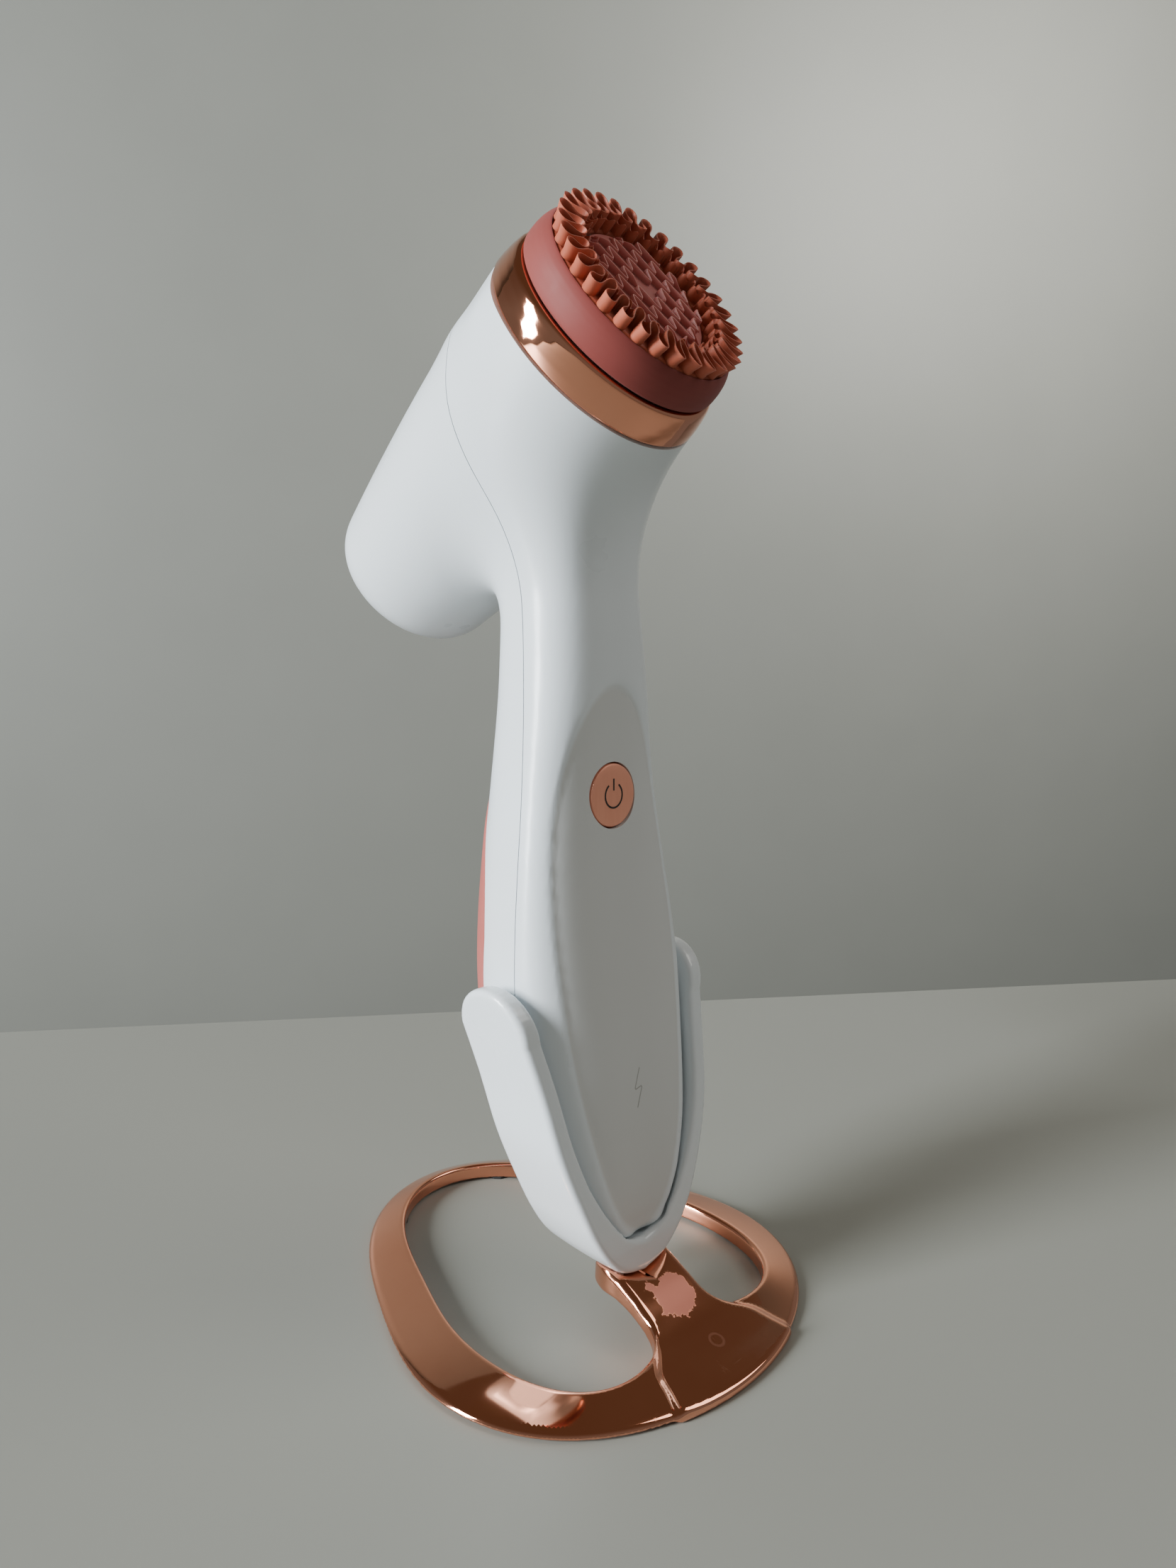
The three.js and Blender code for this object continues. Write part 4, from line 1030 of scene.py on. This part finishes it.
dress(make_band(), "handset", "rose_gold_chrome", GOLD, "gold_band")
dress(make_collar(), "treatment_head", "collar_silicone", PINK, "head_collar")
ring_base = make_ring_base()
dress(ring_base, "outer_ring", "coral_silicone", CORAL, "outer_bristle_ring")
dress(make_petals(), "outer_ring", "coral_silicone", CORAL)
disc = make_disc()
dress(disc, "inner_disc", "pale_silicone", PALE, "inner_bristle_disc")
dress(make_ridges(), "inner_disc", "pale_silicone", PALE)
dress(make_button(), "button", "rose_gold_satin", BUTTON_GOLD, "power_button")
for mark in make_power_mark():
    dress(mark, "button", "black_plastic", DARK)
dress(make_charge_mark(), "handset", "handset_shell", FAINT)

CARRIED = {
    "black_rubber": plain_finish("rubber_black", (0.03, 0.03, 0.03), 0.7),
    "black_plastic": plain_finish("plastic_black", (0.035, 0.035, 0.037), 0.5),
    "grey_plastic": plain_finish("plastic_grey", (0.36, 0.37, 0.38), 0.5),
    "white_acetal": plain_finish("acetal_white", (0.78, 0.78, 0.74), 0.4),
    "steel": plain_finish("turned_steel", (0.56, 0.57, 0.59), 0.3, 1.0),
    "copper": plain_finish("copper_winding", (0.62, 0.28, 0.12), 0.35, 1.0),
    "circuit_board": circuit_board(),
    "battery_wrap": plain_finish("cell_wrap", (0.06, 0.16, 0.40), 0.35),
    "cradle_white": CRADLE_WHITE,
}
SLOT_OF = {part["node"]: part["material_slot"] for part in frame["record"]["subparts"]}
for node, made in frame["nodes"].items():
    if SLOT_OF[node] in CARRIED:
        wear(made, CARRIED[SLOT_OF[node]])

# ------------------------------------------------------------------ stage, light and camera

CAMERA_TURN = math.radians(-47.12)
CAMERA_RISE = math.radians(9.61)
CAMERA_ROLL = math.radians(3.0)
CAMERA_TARGET = np.array([0.0, -8.0, 99.4])
CAMERA_DISTANCE = 207.5
LENS_SHARE = 0.7052  # focal length over the frame's height
EDGE_DISTANCE = 133.0  # from the drawing's origin to the table's far edge
EDGE_TURN = math.radians(15.0)
WALL_DISTANCE, WALL_HEIGHT = 2000.0, 2000.0
STAGE_REACH = 3000.0
FLOOR_TINT = (0.30, 0.305, 0.272)
WALL_TINT = (0.30, 0.305, 0.275)


def view_axes():
    """The camera's right, up and back."""
    back = Vector((math.sin(CAMERA_TURN) * math.cos(CAMERA_RISE),
                   -math.cos(CAMERA_TURN) * math.cos(CAMERA_RISE), math.sin(CAMERA_RISE)))
    right = Vector((math.cos(CAMERA_TURN), math.sin(CAMERA_TURN), 0))
    up = back.cross(right)
    c, s = math.cos(CAMERA_ROLL), math.sin(CAMERA_ROLL)
    return right * c + up * s, up * c - right * s, back


def make_camera():
    data = bpy.data.cameras.new("camera")
    data.sensor_fit = "VERTICAL"
    data.sensor_height = 36
    data.lens = 36 * LENS_SHARE
    data.clip_start = 0.01
    camera = bpy.data.objects.new("camera", data)
    right, up, back = view_axes()
    spot = Vector((CAMERA_TARGET + DATUM) * MM) + back * CAMERA_DISTANCE * MM
    turn = Matrix((right, up, back)).transposed().to_4x4()
    camera.matrix_world = Matrix.Translation(spot) @ turn
    bpy.context.scene.collection.objects.link(camera)
    bpy.context.scene.camera = camera


def stage_finish(name, tint):
    s = Shader(name)
    s.link(s.mix(s.ramp(s.noise(6, 3), 0.3, 0.7, 0, 1), tint, tuple(c * 0.97 for c in tint)), "Base Color")
    s.set(Roughness=0.45)
    return s.material


def make_stage():
    """A table whose far edge runs behind the object, and a wall well beyond it."""
    turn = CAMERA_TURN + EDGE_TURN
    back = np.array([math.sin(turn), -math.cos(turn), 0])
    side = np.array([-back[1], back[0], 0]) * STAGE_REACH
    near, far = back * STAGE_REACH, -back * EDGE_DISTANCE
    corners = [near - side, near + side, far + side, far - side]
    floor = make_object("floor", np.array(corners), [[0, 1, 2, 3]])
    wear(floor, stage_finish("floor_grey", FLOOR_TINT))
    foot = -back * WALL_DISTANCE - [0, 0, WALL_HEIGHT / 2]
    top = foot + [0, 0, 2 * WALL_HEIGHT]
    corners = [foot - side, foot + side, top + side, top - side]
    wall = make_object("backdrop", np.array(corners), [[0, 1, 2, 3]])
    wear(wall, stage_finish("wall_grey", WALL_TINT))


def area_light(name, place, aim, size, power, colour):
    data = bpy.data.lights.new(name, "AREA")
    data.shape = "RECTANGLE"
    data.size, data.size_y = size
    data.energy = power
    data.color = colour
    light = bpy.data.objects.new(name, data)
    light.location = place
    light.rotation_euler = (Vector(aim) - Vector(place)).to_track_quat("-Z", "Y").to_euler()
    bpy.context.scene.collection.objects.link(light)


def make_room():
    """Dim surroundings, paler low down and browner overhead."""
    world = bpy.data.worlds.new("room")
    world.use_nodes = True
    nodes, links = world.node_tree.nodes, world.node_tree.links
    place = nodes.new("ShaderNodeTexCoord").outputs["Generated"]
    split = nodes.new("ShaderNodeSeparateXYZ")
    links.new(place, split.inputs[0])
    overhead = nodes.new("ShaderNodeMapRange")
    overhead.inputs["From Min"].default_value = 0.35
    overhead.inputs["From Max"].default_value = 0.75
    links.new(split.outputs["Z"], overhead.inputs["Value"])
    mix = nodes.new("ShaderNodeMix")
    mix.data_type = "RGBA"
    mix.inputs["A"].default_value = (0.62, 0.64, 0.62, 1)
    mix.inputs["B"].default_value = (0.36, 0.27, 0.19, 1)
    links.new(overhead.outputs["Result"], mix.inputs["Factor"])
    background = nodes["Background"]
    links.new(mix.outputs["Result"], background.inputs["Color"])
    background.inputs["Strength"].default_value = 0.28
    bpy.context.scene.world = world


def make_lights():
    """A window behind on the left, a weak lamp in front, and a lamp that brightens the wall's right."""
    middle = (0, 0, 0.1)
    area_light("window", (-2.4, 0.75, 0.9), middle, (0.62, 1.35), 180.0, (0.93, 0.97, 1.0))
    area_light("room_light", (0.5, -0.45, 0.8), middle, (0.5, 0.5), 2.6, (1.0, 0.96, 0.9))
    area_light("wall_light", (1.75, 0.1, 1.2), (2.2, 0.85, 1.0), (0.8, 0.8), 20.0, (1.0, 0.98, 0.95))


make_room()
make_camera()
make_stage()
make_lights()

import json
